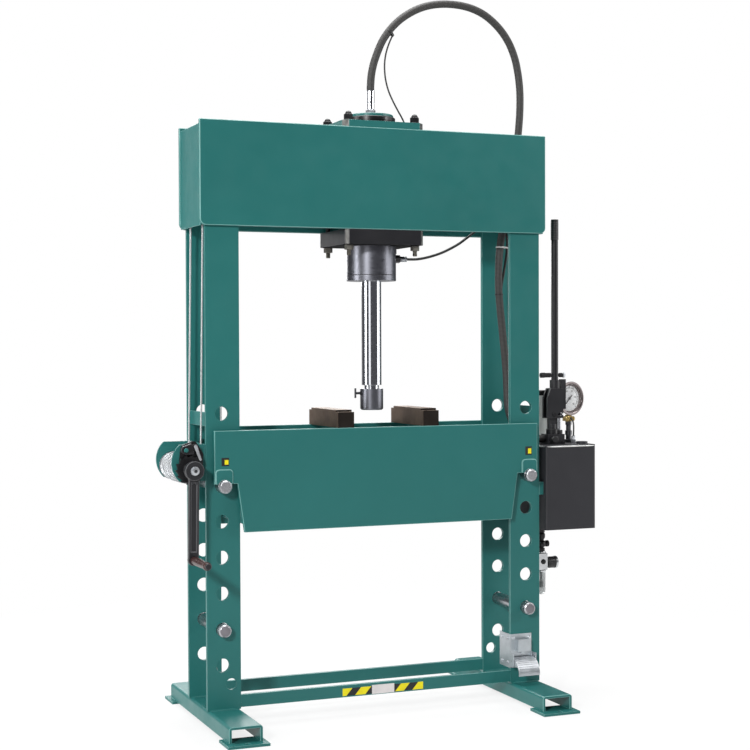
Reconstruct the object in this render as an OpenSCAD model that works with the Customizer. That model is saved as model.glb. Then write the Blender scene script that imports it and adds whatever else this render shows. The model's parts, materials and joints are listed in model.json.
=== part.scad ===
// Workshop hydraulic press: a welded four-bar frame, a work table that hangs on pins,
// a clamped cylinder, a lever pump on its oil tank and a ratchet winch that lifts the table.
// X runs to the right, -Y is the operator's side and Z is up from the floor.

/* [Beam] */
// Extra width of the head beam, past the clear width between the bars
beam_w = 234; // [224:1:294]
// Height of the two beam plates
beam_h = 300; // [260:1:340]
// Depth over the two beam plates
beam_d = 230; // [226:1:260]
// Thickness of the beam plates
beam_t = 12; // [8:0.5:16]
// Top of the beam above the floor
beam_top = 1737; // [1700:1:1800]
// Radius of the beam's lower corners
beam_corner_r = 18; // [4:1:40]
// Thickness of the sheets that close the beam's ends
end_t = 4; // [2:0.5:6]
// How far the end sheets sit inside the plates' ends
end_inset = 3; // [1:0.5:6]
// How far the end sheets stay below the plates' top
end_drop = 11; // [2:1:30]

/* [Uprights] */
// Width of each flat bar
bar_w = 100; // [90:1:110]
// Thickness of each flat bar
bar_t = 12; // [8:0.5:16]
// Clear width between the left and right bars
bar_span = 866; // [850:1:880]
// Diameter of the pin holes
pin_hole_d = 40; // [39:0.5:46]
// Height of the top pin hole
hole_top_z = 902; // [890:1:920]
// Spacing of the pin holes
hole_pitch = 103; // [98:0.5:104]
// Number of pin holes in each bar
hole_count = 8; // [7:1:8]
// How far the pin holes sit outside the bar's middle
hole_shift = 3.5; // [0:0.5:8]
// Diameter of the small hole low in each bar
low_hole_d = 33; // [20:1:38]

/* [Feet] */
// Length of each foot channel
foot_len = 622; // [560:1:700]
// Width of each foot channel
foot_w = 97; // [90:1:104]
// Height of each foot channel
foot_h = 45; // [38:1:50]
// Wall of the foot channels
foot_wall = 8; // [5:0.5:10]
// Width of a floor pad, across the foot
pad_w = 120; // [110:1:140]
// Length of a floor pad, along the foot
pad_len = 90; // [80:1:120]
// Thickness of the floor pads
pad_t = 8; // [6:0.5:12]
// How far a floor pad reaches past the foot's end
pad_out = 30; // [26:1:40]
// Diameter of the floor anchor holes
anchor_d = 14; // [10:0.5:16]
// Height of the cross rails
rail_h = 36; // [30:1:60]

/* [Table] */
// Extra width of the table over its ears, past the clear width between the bars
table_w = 163; // [149:1:174]
// How much narrower than the clear width the table is at its lower edge
table_low_w = 14; // [0:1:66]
// Extra width of the table where the ears begin
table_neck_w = 27; // [14:1:44]
// Height of the table plates
table_h = 292; // [260:1:320]
// Depth over the two table plates
table_d = 252; // [250:1:270]
// Thickness of the table plates
table_t = 12; // [8:0.5:13]
// How far the ears' lower edge lies above the pins' middle
ear_rise = 7; // [2:0.5:12]
// Diameter of the table pins
pin_d = 38; // [34:0.5:38]
// Length of a table pin
pin_len = 292; // [280:1:300]
// Width of a press block
block_w = 51; // [40:1:60]
// Height of a press block
block_h = 52; // [40:1:60]
// Length of a press block
block_len = 250; // [230:1:260]

/* [Cylinder] */
// How far the cylinder is clamped to the right of the middle
cyl_x = 16; // [0:1:40]
// Outer diameter of the cylinder's lower body
cyl_d = 150; // [146:1:160]
// Outer diameter of the barrel inside the beam
barrel_d = 140; // [136:1:142]
// Bore of the barrel
bore_d = 110; // [100:1:116]
// Length of the cylinder below the flange
cyl_drop = 104; // [90:1:120]
// Width of the clamp flange
flange_w = 250; // [240:1:260]
// Thickness of the clamp flange
flange_t = 44; // [40:1:60]
// Thickness of the plate on top of the beam
top_plate_t = 20; // [10:0.5:24]
// Diameter of the ram's rod
rod_d = 60; // [50:1:66]
// Length of rod seen below the cylinder
rod_out = 314; // [290:1:320]
// Diameter of the ram's nose
nose_d = 70; // [66:1:80]
// Length of the ram's nose
nose_len = 64; // [50:1:70]
// Diameter of the clamp studs
stud_d = 14; // [12:0.5:15]

/* [Winch] */
// How far the winch's shaft is outside the bars
winch_x = 51; // [49:1:57]
// Height of the winch's shaft
winch_z = 746; // [735:1:755]
// Radius of the drum's core
drum_r = 35; // [32:0.5:36]
// Diameter of the lift cables
cable_d = 5; // [4:0.5:6]
// Length of the crank from shaft to grip
crank_len = 250; // [220:1:270]
// Width of the crank arm
crank_w = 30; // [24:1:34]
// Angle of the resting crank from the vertical
crank_lean = 0.6; // [0:0.1:6]
// Diameter of the crank's grip
grip_d = 24; // [20:1:30]
// Length of the crank's grip
grip_len = 140; // [90:1:150]
// Radius at which the cables run on their sheaves
sheave_r = 43.5; // [40:0.5:45]

/* [Pump] */
// Width of the oil tank
tank_w = 176; // [160:1:200]
// Depth of the oil tank
tank_d = 230; // [220:1:260]
// Height of the oil tank
tank_h = 259; // [240:1:262]
// Height of the tank's bottom above the floor
tank_z = 520; // [515:1:530]
// Wall of the tank
tank_wall = 3; // [2:0.5:5]
// Gap between the uprights and the tank
tank_gap = 15; // [10:1:20]
// Diameter of the pump lever's tube
lever_d = 22; // [18:0.5:24]
// Height of the lever's top above the floor
lever_top = 1488; // [1400:1:1550]
// Diameter of the pump's plunger
plunger_d = 16; // [12:0.5:17]
// Diameter of the pressure gauge
gauge_d = 104; // [96:1:110]
// Depth of the pressure gauge
gauge_t = 30; // [24:1:36]

/* [Pedal] */
// Width of the pedal's tread
pedal_w = 72; // [60:1:74]
// Radius of the pedal's curved tread
pedal_r = 50; // [40:1:56]
// Thickness of the pedal's sheet
pedal_t = 3; // [2:0.5:4]
// Height of the pedal's bracket
pedal_bracket_h = 104; // [90:1:110]

/* [Hidden] */
$fn = 48;
// Overrun of every cut
over = 1;
// Gap of faces on different bodies that lie side by side
seat_gap = 0.3;
// Radial running gap of pins and shafts
run_gap = 0.05;

// Frame levels and planes
beam_z = beam_top - beam_h;
beam_in = beam_d / 2 - beam_t;
beam_full_w = bar_span + beam_w;
bar_x = bar_span / 2 + bar_w / 2;
bar_out_x = bar_span / 2 + bar_w;
bar_in_y = beam_in - bar_t;
bar_top_gap = 20;
foot_top = pad_t + foot_h;
foot_corner_r = 9;
rail_lift = 4;
anchor_edge = 15;
hole_x = bar_x + hole_shift;
low_hole_in = 21.5;
low_hole_x = bar_x - low_hole_in;
low_hole_rise = 73;
tie_h = 40;
tie_t = 6;
tie_inset = 8;
tie_drop = 37;
tie_z = hole_top_z - tie_drop;
tab_h = 40;
tab_rise = 110;
tab_z = tank_z + tab_rise;

// Table levels
table_hole_step = 2;
spare_hole_step = 6;
spare_pin_back = 15;
pin_drop = (pin_hole_d - pin_d) / 2 - seat_gap;
table_pin_z = hole_top_z - table_hole_step * hole_pitch - pin_drop;
spare_pin_z = hole_top_z - spare_hole_step * hole_pitch - pin_drop;
ear_z = table_pin_z + ear_rise;
table_top = 854;
table_z = table_top - table_h;
table_in = table_d / 2 - table_t;
ear_x = (bar_span + table_w) / 2;
neck_x = (bar_span + table_neck_w) / 2;
low_x = (bar_span - table_low_w) / 2;
pin_groove_deep = 2.5;
pin_groove_d = pin_d - 2 * pin_groove_deep;
pin_groove_w = 4;
pin_groove_in = 10;
pin_chamfer = 4;
saddle_w = 50;
saddle_h = 41;
saddle_t = 4;
saddle_r = 10;
table_end_t = 12;
table_end_gap = 13;
table_end_margin = 20;
lug_t = 12;
lug_h = 36;
lug_past = 14;
lug_drop = 18;
brace_d = 50;
brace_x = 220;
brace_rise = 58;
block_left_x = -115;
block_right_x = 157;
block_step = 20;
block_lip = 6;

// Cylinder levels
flange_z = beam_z - flange_t;
flange_chamfer = 10;
cyl_z = flange_z - cyl_drop;
gland_ring_h = 17;
gland_ring_gap = 1;
gland_in = 40;
gland_top = cyl_z + gland_ring_h + gland_in;
top_plate_z = beam_top + top_plate_t;
top_plate_w = 258;
top_plate_d = 224;
top_plate_chamfer = 16;
barrel_rise = 13;
barrel_top = top_plate_z + barrel_rise;
cap_ring_d = 148;
cap_disc_d = 136;
cap_disc_h = 18;
cap_plug = 28;
stud_x = 106;
stud_y = 88;
stud_below = 32;
stud_above = 16;
nut_d = 27;
nut_h = 16;
washer_d = 30;
washer_t = 3;
hole_slack = 0.4;
port_drop = 36;
port_z = flange_z - port_drop;
port_d = 12;
port_hex_d = 24;
port_hex_len = 20;
port_nut_d = 17;
port_nut_len = 21;
port_in = 10;
top_hex_d = 30;
top_hex_h = 18;
ferrule_d = 23;
ferrule_h = 57;

// Ram levels
neck_h = 11;
nose_z = cyl_z - rod_out - nose_len - neck_h;
spigot_d = 44;
spigot_h = 34;
nose_chamfer = 4;
rod_bottom = nose_z + nose_len + neck_h;
piston_h = 50;
piston_lift = 14;
piston_z = gland_top + piston_lift;
screw_d = 8;
screw_rise = 51;
screw_head_x = 18;
screw_bar_d = 6;
screw_bar_len = 30;
screw_in = 12;

// Winch places
winch_axis_x = bar_out_x + winch_x;
winch_plate_t = 6;
winch_front_y = -(beam_in - winch_plate_t);
winch_back_y = 72;
winch_plate_low = 34;
winch_plate_high = 70;
winch_plate_out = 49;
winch_plate_r = 71;
winch_base_t = 4;
turn_merge = 0.2;
turn_d = cable_d + turn_merge;
turn_end = 4;
drum_gap = 0.5;
shaft_d = 20;
shaft_back = 14;
ratchet_r = 43;
ratchet_root_r = 36;
ratchet_teeth = 14;
ratchet_t = 12;
ratchet_gap = 7;
pawl_x = -14;
pawl_z = 56;
pawl_boss_r = 12;
pawl_t = 16;
pawl_bolt_d = 10;
pawl_tip_x = 10;
pawl_tip_gap = 0.8;
pawl_tip_w = 9;
pawl_tail_x = 16;
pawl_tail_z = 18;
pawl_tail_w = 7;
crank_y = -150;
crank_t = 12;
crank_hub_d = 54;
crank_hub_t = 22;
crank_rib = 7;
crank_pocket = 3;
crank_boss_d = 32;
crank_nut_d = 20;
crank_nut_h = 8;
grip_gap = 2;
grip_pin_d = 10;
grip_cap_d = 18;
grip_cap_h = 4;
cable_front_y = -76;
cable_back_y = 52;
cable_edge = 20;
cable_x = beam_full_w / 2 - cable_edge;
sheave_x = cable_x - sheave_r;
sheave_rise = 123;
sheave_z = beam_z + sheave_rise;
sheave_w = 12;
sheave_lip = 4;
axle_d = 14;
cable_drop_x = sheave_x - sheave_r;
right_sheave_x = cable_drop_x - sheave_r;
drum_cable_r = drum_r + cable_d + turn_d / 2 + seat_gap;

// Pump places
tank_x = bar_out_x + tank_gap;
tank_y = -120;
tank_corner_r = 8;
tank_top = tank_z + tank_h;
lid_t = 4;
lid_top = tank_top + lid_t;
filler_x = 145;
filler_y = 34;
filler_d = 36;
filler_h = 8;
return_port_x = 20;
return_port_y = 28;
return_port_z = 24;
return_port_w = 18;
pump_in = 64;
pump_x = tank_x + pump_in;
pump_y = -40;
base_left = 25;
base_right = 32;
base_deep = 25;
base_h = 31;
post_d = 28;
post_h = 31;
tongue_t = 16;
tongue_w = 26;
pivot_rise = 93;
pivot_z = lid_top + pivot_rise;
pivot_d = 10;
plunger_x = 23;
plunger_in = 24;
plunger_stroke = 14;
plunger_floor = lid_top + base_h - plunger_in;
plunger_pin_d = 8;
plunger_head = 12;
slot_reach = 7;
slot_gap = 0.8;
cheek_gap = 20;
cheek_t = 8;
cheek_back = 25;
cheek_front = 31;
cheek_low = 12;
cheek_h = 82;
socket_web = 54;
cheek_slant = 30;
lever_x = 10;
socket_d = 32;
socket_top = 108;
lever_in = 50;
lever_grip_d = 24;
lever_grip_len = 63;
bolt_rise = 123;
bolt_d = 10;
bolt_left = 49;
bolt_right = 35;
link_w = 14;
link_d = 18;
link_low = 16;
link_high = 110;
gauge_in = 149;
gauge_x = tank_x + gauge_in;
gauge_rise = 140;
gauge_z = lid_top + gauge_rise;
gauge_y = -8;
gauge_mid_y = gauge_y + gauge_t / 2;
gauge_turn = 14;
gauge_wall = 4;
dial_t = 1.5;
dial_in = 12;
glass_t = 2;
glass_in = 2;
needle_len = 36;
needle_tail = 14;
needle_w = 3;
needle_t = 1;
needle_hub_d = 9;
spindle_d = 3;
needle_rise = 3;
needle_rest = 45;
stem_d = 18;
stem_foot_d = 26;
stem_foot_h = 10;
tee_w = 30;
tee_d = 24;
tee_h = 20;
banjo_x = -10;
banjo_d = 9;
banjo_len = 8;
air_in = 70;
air_x = tank_x + air_in;
air_y = 50;
air_d = 46;
air_h = 166;
air_cap_d = 52;
air_cap_h = 16;
knob_d = 22;
knob_len = 20;
knob_stem_d = 8;
knob_gap = 4;
knob_in = 12;
knob_rise = 15;
knob_x = -12;
inlet_len = 9;
inlet_rise = 17;
line_port_in = 152;
line_port_x = tank_x + line_port_in;
line_port_y = -20;
line_port_d = 12;
line_port_h = 22;

// Regulator places
reg_in = 25;
reg_x = tank_x + reg_in;
reg_y = -40;
reg_w = 30;
reg_drop = 139;
reg_z = tank_z - reg_drop;
reg_h = 65;
reg_nipple_d = 16;
reg_hex_d = 24;
reg_hex_h = 16;
bowl_d = 27;
bowl_h = 72;
reg_knob_d = 36;
reg_knob_len = 34;
reg_knob_z = 28;
reg_boss_d = 20;
reg_boss_len = 3;
reg_axle_d = 8;
reg_axle_in = 10;

// Pedal places
pedal_plate_t = 3;
pedal_plate_w = 70;
pedal_side_d = 72;
pedal_bracket_z = 100;
pedal_hinge_out = 13;
pedal_hinge_y = -beam_in - pedal_hinge_out;
pedal_hinge_z = 124;
pedal_centre_out = 9;
pedal_centre_y = -beam_in - pedal_centre_out;
pedal_centre_z = 84;
pedal_pin_d = 8;
pedal_ear_t = 3;
pedal_ear_gap = 1;
pedal_ear_d = 24;
pedal_ear_h = 40;
pedal_ear_low = 18;
pedal_cheek_t = 3;
valve_w = 40;
valve_d = 20;
valve_h = 38;
valve_rise = 52;
button_d = 10;
button_h = 8;

// Hose and cord sizes and routes, chosen by hand
hose_d = 23;
return_d = 8;
tether_d = 5;
line_d = 5;
hose_sides = 10;
thin_sides = 8;
hose_route = [
  [16, 0, 1863], [16, 0, 1878], [20, 0, 1918], [32, 0, 1962], [58, 0, 2020], [98, 0, 2070],
  [147, 0, 2107], [203, 0, 2132], [267, 0, 2143], [335, 0, 2140], [393, 0, 2122], [442, 0, 2088], [478, 0, 2046],
  [502, 0, 1996], [515, 0, 1942], [521, 0, 1888], [521, 0, 1832], [517, 0, 1776], [510, 0, 1720],
  [501, 0, 1664], [490, 0, 1608], [479, 0, 1552], [468, 0, 1496], [457, 0, 1440], [449, 0, 1384],
  [446, 0, 1328], [446, 0, 1272], [450, 0, 1216], [456, 0, 1160], [462, 0, 1104], [468, 0, 1048],
  [471, -2, 1000], [471, -6, 950], [471, -12, 902], [479, -20, 862], [499, -28, 829],
  [532, -36, 808], [566, -40, 800], [578, -40, 800],
];
return_route = [
  [132, 0, 1357], [144, 0, 1357], [168, 0, 1358], [197, 0, 1363], [230, 0, 1372], [262, 0, 1384],
  [307, 4, 1406], [343, 10, 1429], [378, 18, 1452], [408, 24, 1467], [436, 28, 1474], [460, 30, 1470],
  [480, 30, 1456], [490, 30, 1434], [491, 30, 1406], [488, 30, 1376], [483, 30, 1346], [477, 30, 1314],
  [471, 30, 1282], [468, 30, 1250], [469, 30, 1190], [476, 30, 1130], [484, 30, 1070],
  [490, 30, 1010], [493, 30, 950], [498, 30, 900],
  [508, 30, 858], [526, 29, 824], [542, 28, 804], [556, 28, 797], [568, 28, 797],
];
tether_route = [
  [128, 0, 1757], [128, 0, 1766], [120, 0, 1784], [104, 0, 1810], [88, 0, 1838], [74, 0, 1868],
  [65, 0, 1902], [62, 0, 1936], [64, 0, 1964], [70, 0, 1990], [79, 0, 2014], [89, 0, 2035],
];
line_route = [
  [692, -9, 861], [697, -11, 859], [701, -14, 852], [702, -17, 842], [701, -20, 827], [700, -20, 805],
];

// Colours
paint = [0.21, 0.45, 0.44];
black = [0.14, 0.14, 0.15];
steel = [0.62, 0.63, 0.65];
chrome = [0.82, 0.83, 0.85];
brown = [0.34, 0.31, 0.28];
white = [0.94, 0.94, 0.92];
brass = [0.75, 0.6, 0.28];

// Round bar along Y between two places
module rod_y(d, from, to) {
  translate([0, to, 0]) rotate([90, 0, 0]) cylinder(d = d, h = to - from);
}

// Round bar along X between two places
module rod_x(d, from, to) {
  translate([from, 0, 0]) rotate([0, 90, 0]) cylinder(d = d, h = to - from);
}

// Outline in X and Z, thickened along Y between two places
module wall_y(from, to) {
  translate([0, to, 0]) rotate([90, 0, 0]) linear_extrude(height = to - from) children();
}

// Outline in Y and Z, thickened along X between two places
module wall_x(from, to) {
  translate([from, 0, 0]) rotate([90, 0, 90]) linear_extrude(height = to - from) children();
}

// Block between pairs of places along X, Y and Z
module block(x, y, z) {
  translate([x[0], y[0], z[0]]) cube([x[1] - x[0], y[1] - y[0], z[1] - z[0]]);
}

// Rectangle with four corners cut at 45 degrees, centred
module chamfered(w, d, c) {
  polygon([
    [-w / 2 + c, -d / 2], [w / 2 - c, -d / 2], [w / 2, -d / 2 + c], [w / 2, d / 2 - c],
    [w / 2 - c, d / 2], [-w / 2 + c, d / 2], [-w / 2, d / 2 - c], [-w / 2, -d / 2 + c],
  ]);
}

// Rectangle from a corner at the origin, all corners rounded
module rounded(w, d, r) {
  translate([r, 0]) square([w - 2 * r, d]);
  translate([0, r]) square([w, d - 2 * r]);
  for (x = [r, w - r], y = [r, d - r]) translate([x, y]) circle(r);
}

// Rectangle on the X axis, centred, its upper corners rounded
module round_topped(w, h, r) {
  translate([-w / 2, 0]) square([w, h - r]);
  translate([-w / 2 + r, 0]) square([w - 2 * r, h]);
  for (side = [-1, 1]) translate([side * (w / 2 - r), h - r]) circle(r);
}

function unit(v) = v / norm(v);
function tangent(route, i) =
  unit(route[min(i + 1, len(route) - 1)] - route[max(i - 1, 0)]);
function ring(route, i, r, sides) =
  let (t = tangent(route, i), a = unit(cross(t, [0, 1, 0])), b = cross(t, a))
  [for (k = [0:sides - 1]) route[i] + r * (cos(360 * k / sides) * a + sin(360 * k / sides) * b)];

// Tube swept along a route, with a ring at each of its points
module swept(route, d, sides) {
  count = len(route);
  points = [for (i = [0:count - 1]) each ring(route, i, d / 2, sides)];
  walls = [
    for (i = [0:count - 2], k = [0:sides - 1])
      let (k2 = (k + 1) % sides, low = i * sides, high = (i + 1) * sides)
      [low + k, high + k, high + k2, low + k2]
  ];
  start = [for (k = [0:sides - 1]) k];
  finish = [for (k = [sides - 1:-1:0]) (count - 1) * sides + k];
  polyhedron(points, concat([start], walls, [finish]), convexity = 6);
}

// Beam
module beam_plate(from) {
  color(paint) wall_y(from, from + beam_t)
    translate([0, beam_top]) mirror([0, 1]) round_topped(beam_full_w, beam_h, beam_corner_r);
}

module beam_front() { beam_plate(-beam_d / 2); }

module beam_back() { beam_plate(beam_in); }

module beam_ends() {
  out = beam_full_w / 2 - end_inset;
  color(paint) for (x = [-out, out - end_t])
    block([x, x + end_t], [-beam_in, beam_in], [beam_z, beam_top - end_drop]);
}

// Uprights
module upright(side, from) {
  color(paint) difference() {
    block([side * bar_x - bar_w / 2, side * bar_x + bar_w / 2], [from, from + bar_t],
      [foot_top, beam_top - bar_top_gap]);
    for (k = [0:hole_count - 1])
      translate([side * hole_x, 0, hole_top_z - k * hole_pitch])
        rod_y(pin_hole_d, from - over, from + bar_t + over);
    translate([side * low_hole_x, 0, foot_top + low_hole_rise])
      rod_y(low_hole_d, from - over, from + bar_t + over);
  }
}

module upright_front_left() { upright(-1, -beam_in); }

module upright_back_left() { upright(-1, bar_in_y); }

module upright_front_right() { upright(1, -beam_in); }

module upright_back_right() { upright(1, bar_in_y); }

// Strips that tie each front bar to its back bar, and the tabs that carry the tank
module frame_ties() {
  tie_out = bar_out_x - tie_inset;
  color(paint) {
    for (x = [-tie_out, tie_out - tie_t])
      block([x, x + tie_t], [-bar_in_y, bar_in_y], [tie_z, tie_z + tie_h]);
    for (y = [-beam_in, bar_in_y])
      block([bar_out_x, tank_x], [y, y + bar_t], [tab_z, tab_z + tab_h]);
  }
}

// Feet, open towards the floor
module foot(side) {
  color(paint) translate([side * bar_x, 0, 0]) difference() {
    wall_y(-foot_len / 2, foot_len / 2)
      translate([0, pad_t]) round_topped(foot_w, foot_h, foot_corner_r);
    wall_y(-foot_len / 2 - over, foot_len / 2 + over)
      translate([-foot_w / 2 + foot_wall, pad_t - over])
        square([foot_w - 2 * foot_wall, foot_h - foot_wall + over]);
  }
}

module foot_left() { foot(-1); }

module foot_right() { foot(1); }

module floor_pads() {
  far = foot_len / 2 + pad_out;
  color(paint) for (side = [-1, 1], end = [-1, 1])
    translate([side * bar_x, end * (far - pad_len / 2), 0]) difference() {
      translate([-pad_w / 2, -pad_len / 2, 0]) cube([pad_w, pad_len, pad_t]);
      translate([0, end * (pad_len / 2 - anchor_edge), -over])
        cylinder(d = anchor_d, h = pad_t + 2 * over);
    }
}

// Front and back rails between the uprights, just above the feet
module cross_rails() {
  low = foot_top + rail_lift;
  color(paint) for (y = [-beam_in, bar_in_y])
    block([-bar_span / 2, bar_span / 2], [y, y + bar_t], [low, low + rail_h]);
}

// Pins with a ground groove near each end
module support_pin() {
  half = pin_len / 2;
  difference() {
    union() {
      rod_y(pin_d, -half + pin_chamfer, half - pin_chamfer);
      for (end = [-1, 1]) rotate([end * 90, 0, 0]) translate([0, 0, half - pin_chamfer])
        cylinder(d1 = pin_d, d2 = pin_d - 2 * pin_chamfer, h = pin_chamfer);
    }
    for (end = [-1, 1]) rotate([end * 90, 0, 0])
      translate([0, 0, half - pin_groove_in - pin_groove_w]) difference() {
        cylinder(d = pin_d + over, h = pin_groove_w);
        translate([0, 0, -over]) cylinder(d = pin_groove_d, h = pin_groove_w + 2 * over);
      }
  }
}

module support_pins() {
  color(steel) for (side = [-1, 1], place = [[0, table_pin_z], [spare_pin_back, spare_pin_z]])
    translate([side * hole_x, place[0], place[1]]) support_pin();
}

// Cylinder
module stud_places() {
  for (x = [-stud_x, stud_x], y = [-stud_y, stud_y]) translate([cyl_x + x, y, 0]) children();
}

module cylinder_flange() {
  color(black) difference() {
    translate([cyl_x, 0, flange_z]) linear_extrude(height = flange_t)
      chamfered(flange_w, beam_d, flange_chamfer);
    translate([cyl_x, 0, flange_z - over])
      cylinder(d = barrel_d + 2 * run_gap, h = flange_t + 2 * over);
    stud_places() translate([0, 0, flange_z - over])
      cylinder(d = stud_d + hole_slack, h = flange_t + 2 * over);
  }
}

module cylinder_barrel() {
  low = cyl_z + gland_ring_h + gland_ring_gap;
  color(black) difference() {
    translate([cyl_x, 0, low]) union() {
      cylinder(d = cyl_d, h = flange_z - low);
      cylinder(d = barrel_d, h = barrel_top - low);
    }
    translate([cyl_x, 0, low - over]) cylinder(d = bore_d, h = barrel_top - low + 2 * over);
    translate([cyl_x, 0, port_z]) rod_x(port_d + 2 * run_gap, bore_d / 2 - over, cyl_d / 2 + over);
  }
}

module cylinder_gland() {
  color(black) translate([cyl_x, 0, cyl_z]) difference() {
    union() {
      cylinder(d = cyl_d, h = gland_ring_h);
      cylinder(d = bore_d - 2 * run_gap, h = gland_ring_h + gland_in);
    }
    translate([0, 0, -over])
      cylinder(d = rod_d + 2 * run_gap, h = gland_ring_h + gland_in + 2 * over);
  }
}

module cylinder_cap() {
  color(black) translate([cyl_x, 0, 0]) union() {
    difference() {
      translate([0, 0, top_plate_z]) cylinder(d = cap_ring_d, h = barrel_top - top_plate_z);
      translate([0, 0, top_plate_z - over])
        cylinder(d = barrel_d + 2 * run_gap, h = barrel_top - top_plate_z + over);
    }
    translate([0, 0, barrel_top]) cylinder(d = cap_ring_d, h = cap_disc_h / 2);
    translate([0, 0, barrel_top]) cylinder(d = cap_disc_d, h = cap_disc_h);
    translate([0, 0, barrel_top - cap_plug]) cylinder(d = bore_d - 2 * run_gap, h = cap_plug + over);
  }
}

module cylinder_top_plate() {
  color(paint) difference() {
    translate([cyl_x, 0, beam_top]) linear_extrude(height = top_plate_t)
      chamfered(top_plate_w, top_plate_d, top_plate_chamfer);
    translate([cyl_x, 0, beam_top - over])
      cylinder(d = barrel_d + 2 * run_gap, h = top_plate_t + 2 * over);
    stud_places() translate([0, 0, beam_top - over])
      cylinder(d = stud_d + hole_slack, h = top_plate_t + 2 * over);
  }
}

// Studs with a hex nut under the flange, and a washer and domed nut on the top plate
module clamp_studs() {
  color(black) stud_places() union() {
    translate([0, 0, flange_z - stud_below])
      cylinder(d = stud_d, h = top_plate_z + stud_above - flange_z + stud_below);
    translate([0, 0, flange_z - nut_h]) cylinder(d = nut_d, h = nut_h, $fn = 6);
    translate([0, 0, top_plate_z]) cylinder(d = washer_d, h = washer_t);
    translate([0, 0, top_plate_z + washer_t]) cylinder(d = nut_d, h = nut_h, $fn = 6);
    translate([0, 0, top_plate_z + washer_t + nut_h]) sphere(d = nut_d - nut_h / 2);
  }
}

module hose_fittings() {
  color(chrome) {
    translate([cyl_x, 0, barrel_top + cap_disc_h]) union() {
      cylinder(d = top_hex_d, h = top_hex_h, $fn = 6);
      cylinder(d = ferrule_d, h = top_hex_h + ferrule_h);
    }
    translate([cyl_x, 0, port_z]) union() {
      rod_x(port_d, cyl_d / 2 - port_in, cyl_d / 2 + port_hex_len);
      translate([cyl_d / 2, 0, 0]) rotate([0, 90, 0])
        cylinder(d = port_hex_d, h = port_hex_len, $fn = 6);
      rod_x(port_nut_d, cyl_d / 2, cyl_d / 2 + port_hex_len + port_nut_len);
    }
  }
}

module pressure_hose() { color(black) swept(hose_route, hose_d, hose_sides); }

module return_hose() { color(black) swept(return_route, return_d, thin_sides); }

module hose_tether() { color(black) swept(tether_route, tether_d, thin_sides); }

module gauge_line() { color(black) swept(line_route, line_d, thin_sides); }

// Ram
module ram_piston() {
  color(steel) translate([cyl_x, 0, piston_z]) difference() {
    cylinder(d = bore_d - 2 * seat_gap, h = piston_h);
    translate([0, 0, -over]) cylinder(d = spigot_d + 2 * run_gap, h = piston_h + 2 * over);
  }
}

module ram_rod() {
  color(chrome) translate([cyl_x, 0, 0]) union() {
    translate([0, 0, rod_bottom]) cylinder(d = rod_d, h = piston_z - rod_bottom);
    translate([0, 0, rod_bottom - neck_h - spigot_h])
      cylinder(d = spigot_d, h = piston_z + piston_h - rod_bottom + neck_h + spigot_h);
  }
}

module ram_nose() {
  color(steel) translate([cyl_x, 0, nose_z]) difference() {
    union() {
      cylinder(d1 = nose_d - 2 * nose_chamfer, d2 = nose_d, h = nose_chamfer);
      translate([0, 0, nose_chamfer]) cylinder(d = nose_d, h = nose_len - nose_chamfer);
    }
    translate([0, 0, nose_len - spigot_h])
      cylinder(d = spigot_d + 2 * run_gap, h = spigot_h + over);
    translate([0, 0, screw_rise]) rod_x(screw_d + 2 * run_gap, -nose_d / 2 - over, 0);
  }
}

module nose_screw() {
  reach = nose_d / 2 + screw_head_x;
  color(steel) translate([cyl_x, 0, nose_z + screw_rise]) union() {
    rod_x(screw_d, -reach, -nose_d / 2 + screw_in);
    translate([-reach, 0, -screw_bar_len / 2]) cylinder(d = screw_bar_d, h = screw_bar_len);
  }
}

// Table
module table_outline() {
  polygon([
    [-ear_x, table_top], [-ear_x, ear_z], [-neck_x, ear_z], [-low_x, table_z],
    [low_x, table_z], [neck_x, ear_z], [ear_x, ear_z], [ear_x, table_top],
  ]);
}

// One table plate with a raised saddle over each pin, on its outer face
module table_plate(from, face, out) {
  color(paint) difference() {
    union() {
      wall_y(from, from + table_t) table_outline();
      for (side = [-1, 1]) wall_y(min(face, face + out * saddle_t), max(face, face + out * saddle_t))
        translate([side * hole_x, ear_z]) round_topped(saddle_w, saddle_h, saddle_r);
    }
    for (side = [-1, 1]) translate([side * hole_x, 0, table_pin_z])
      rod_y(pin_d + 2 * seat_gap, from - table_t, from + 2 * table_t);
  }
}

module table_front() { table_plate(-table_d / 2, -table_d / 2, -1); }

module table_back() { table_plate(table_in, table_d / 2, 1); }

// Cross plates near the uprights, each with a lug for its lift cable, and two cross tubes
module table_ends() {
  out = bar_span / 2 - table_end_gap;
  lug_end = cable_drop_x + lug_past;
  lug_top = table_top - lug_drop;
  color(paint) {
    for (end = [[-1, cable_back_y], [1, cable_front_y]]) union() {
      mirror([end[0] < 0 ? 1 : 0, 0, 0]) {
        block([out - table_end_t, out], [-table_in, table_in],
          [table_z + table_end_margin, table_top - table_end_margin]);
        block([out, lug_end], [end[1] - lug_t / 2, end[1] + lug_t / 2], [lug_top - lug_h, lug_top]);
      }
    }
    for (side = [-1, 1]) translate([side * brace_x, 0, table_z + brace_rise])
      rod_y(brace_d, -table_in, table_in);
  }
}

// Press block with a low step at each end
module press_block(x) {
  half = block_len / 2;
  color(brown) translate([x, 0, table_top]) wall_x(-block_w / 2, block_w / 2) polygon([
    [-half, 0], [half, 0], [half, block_h - block_lip], [half - block_step, block_h - block_lip],
    [half - block_step, block_h], [-half + block_step, block_h],
    [-half + block_step, block_h - block_lip], [-half, block_h - block_lip],
  ]);
}

module press_block_left() { press_block(block_left_x); }

module press_block_right() { press_block(block_right_x); }

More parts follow.
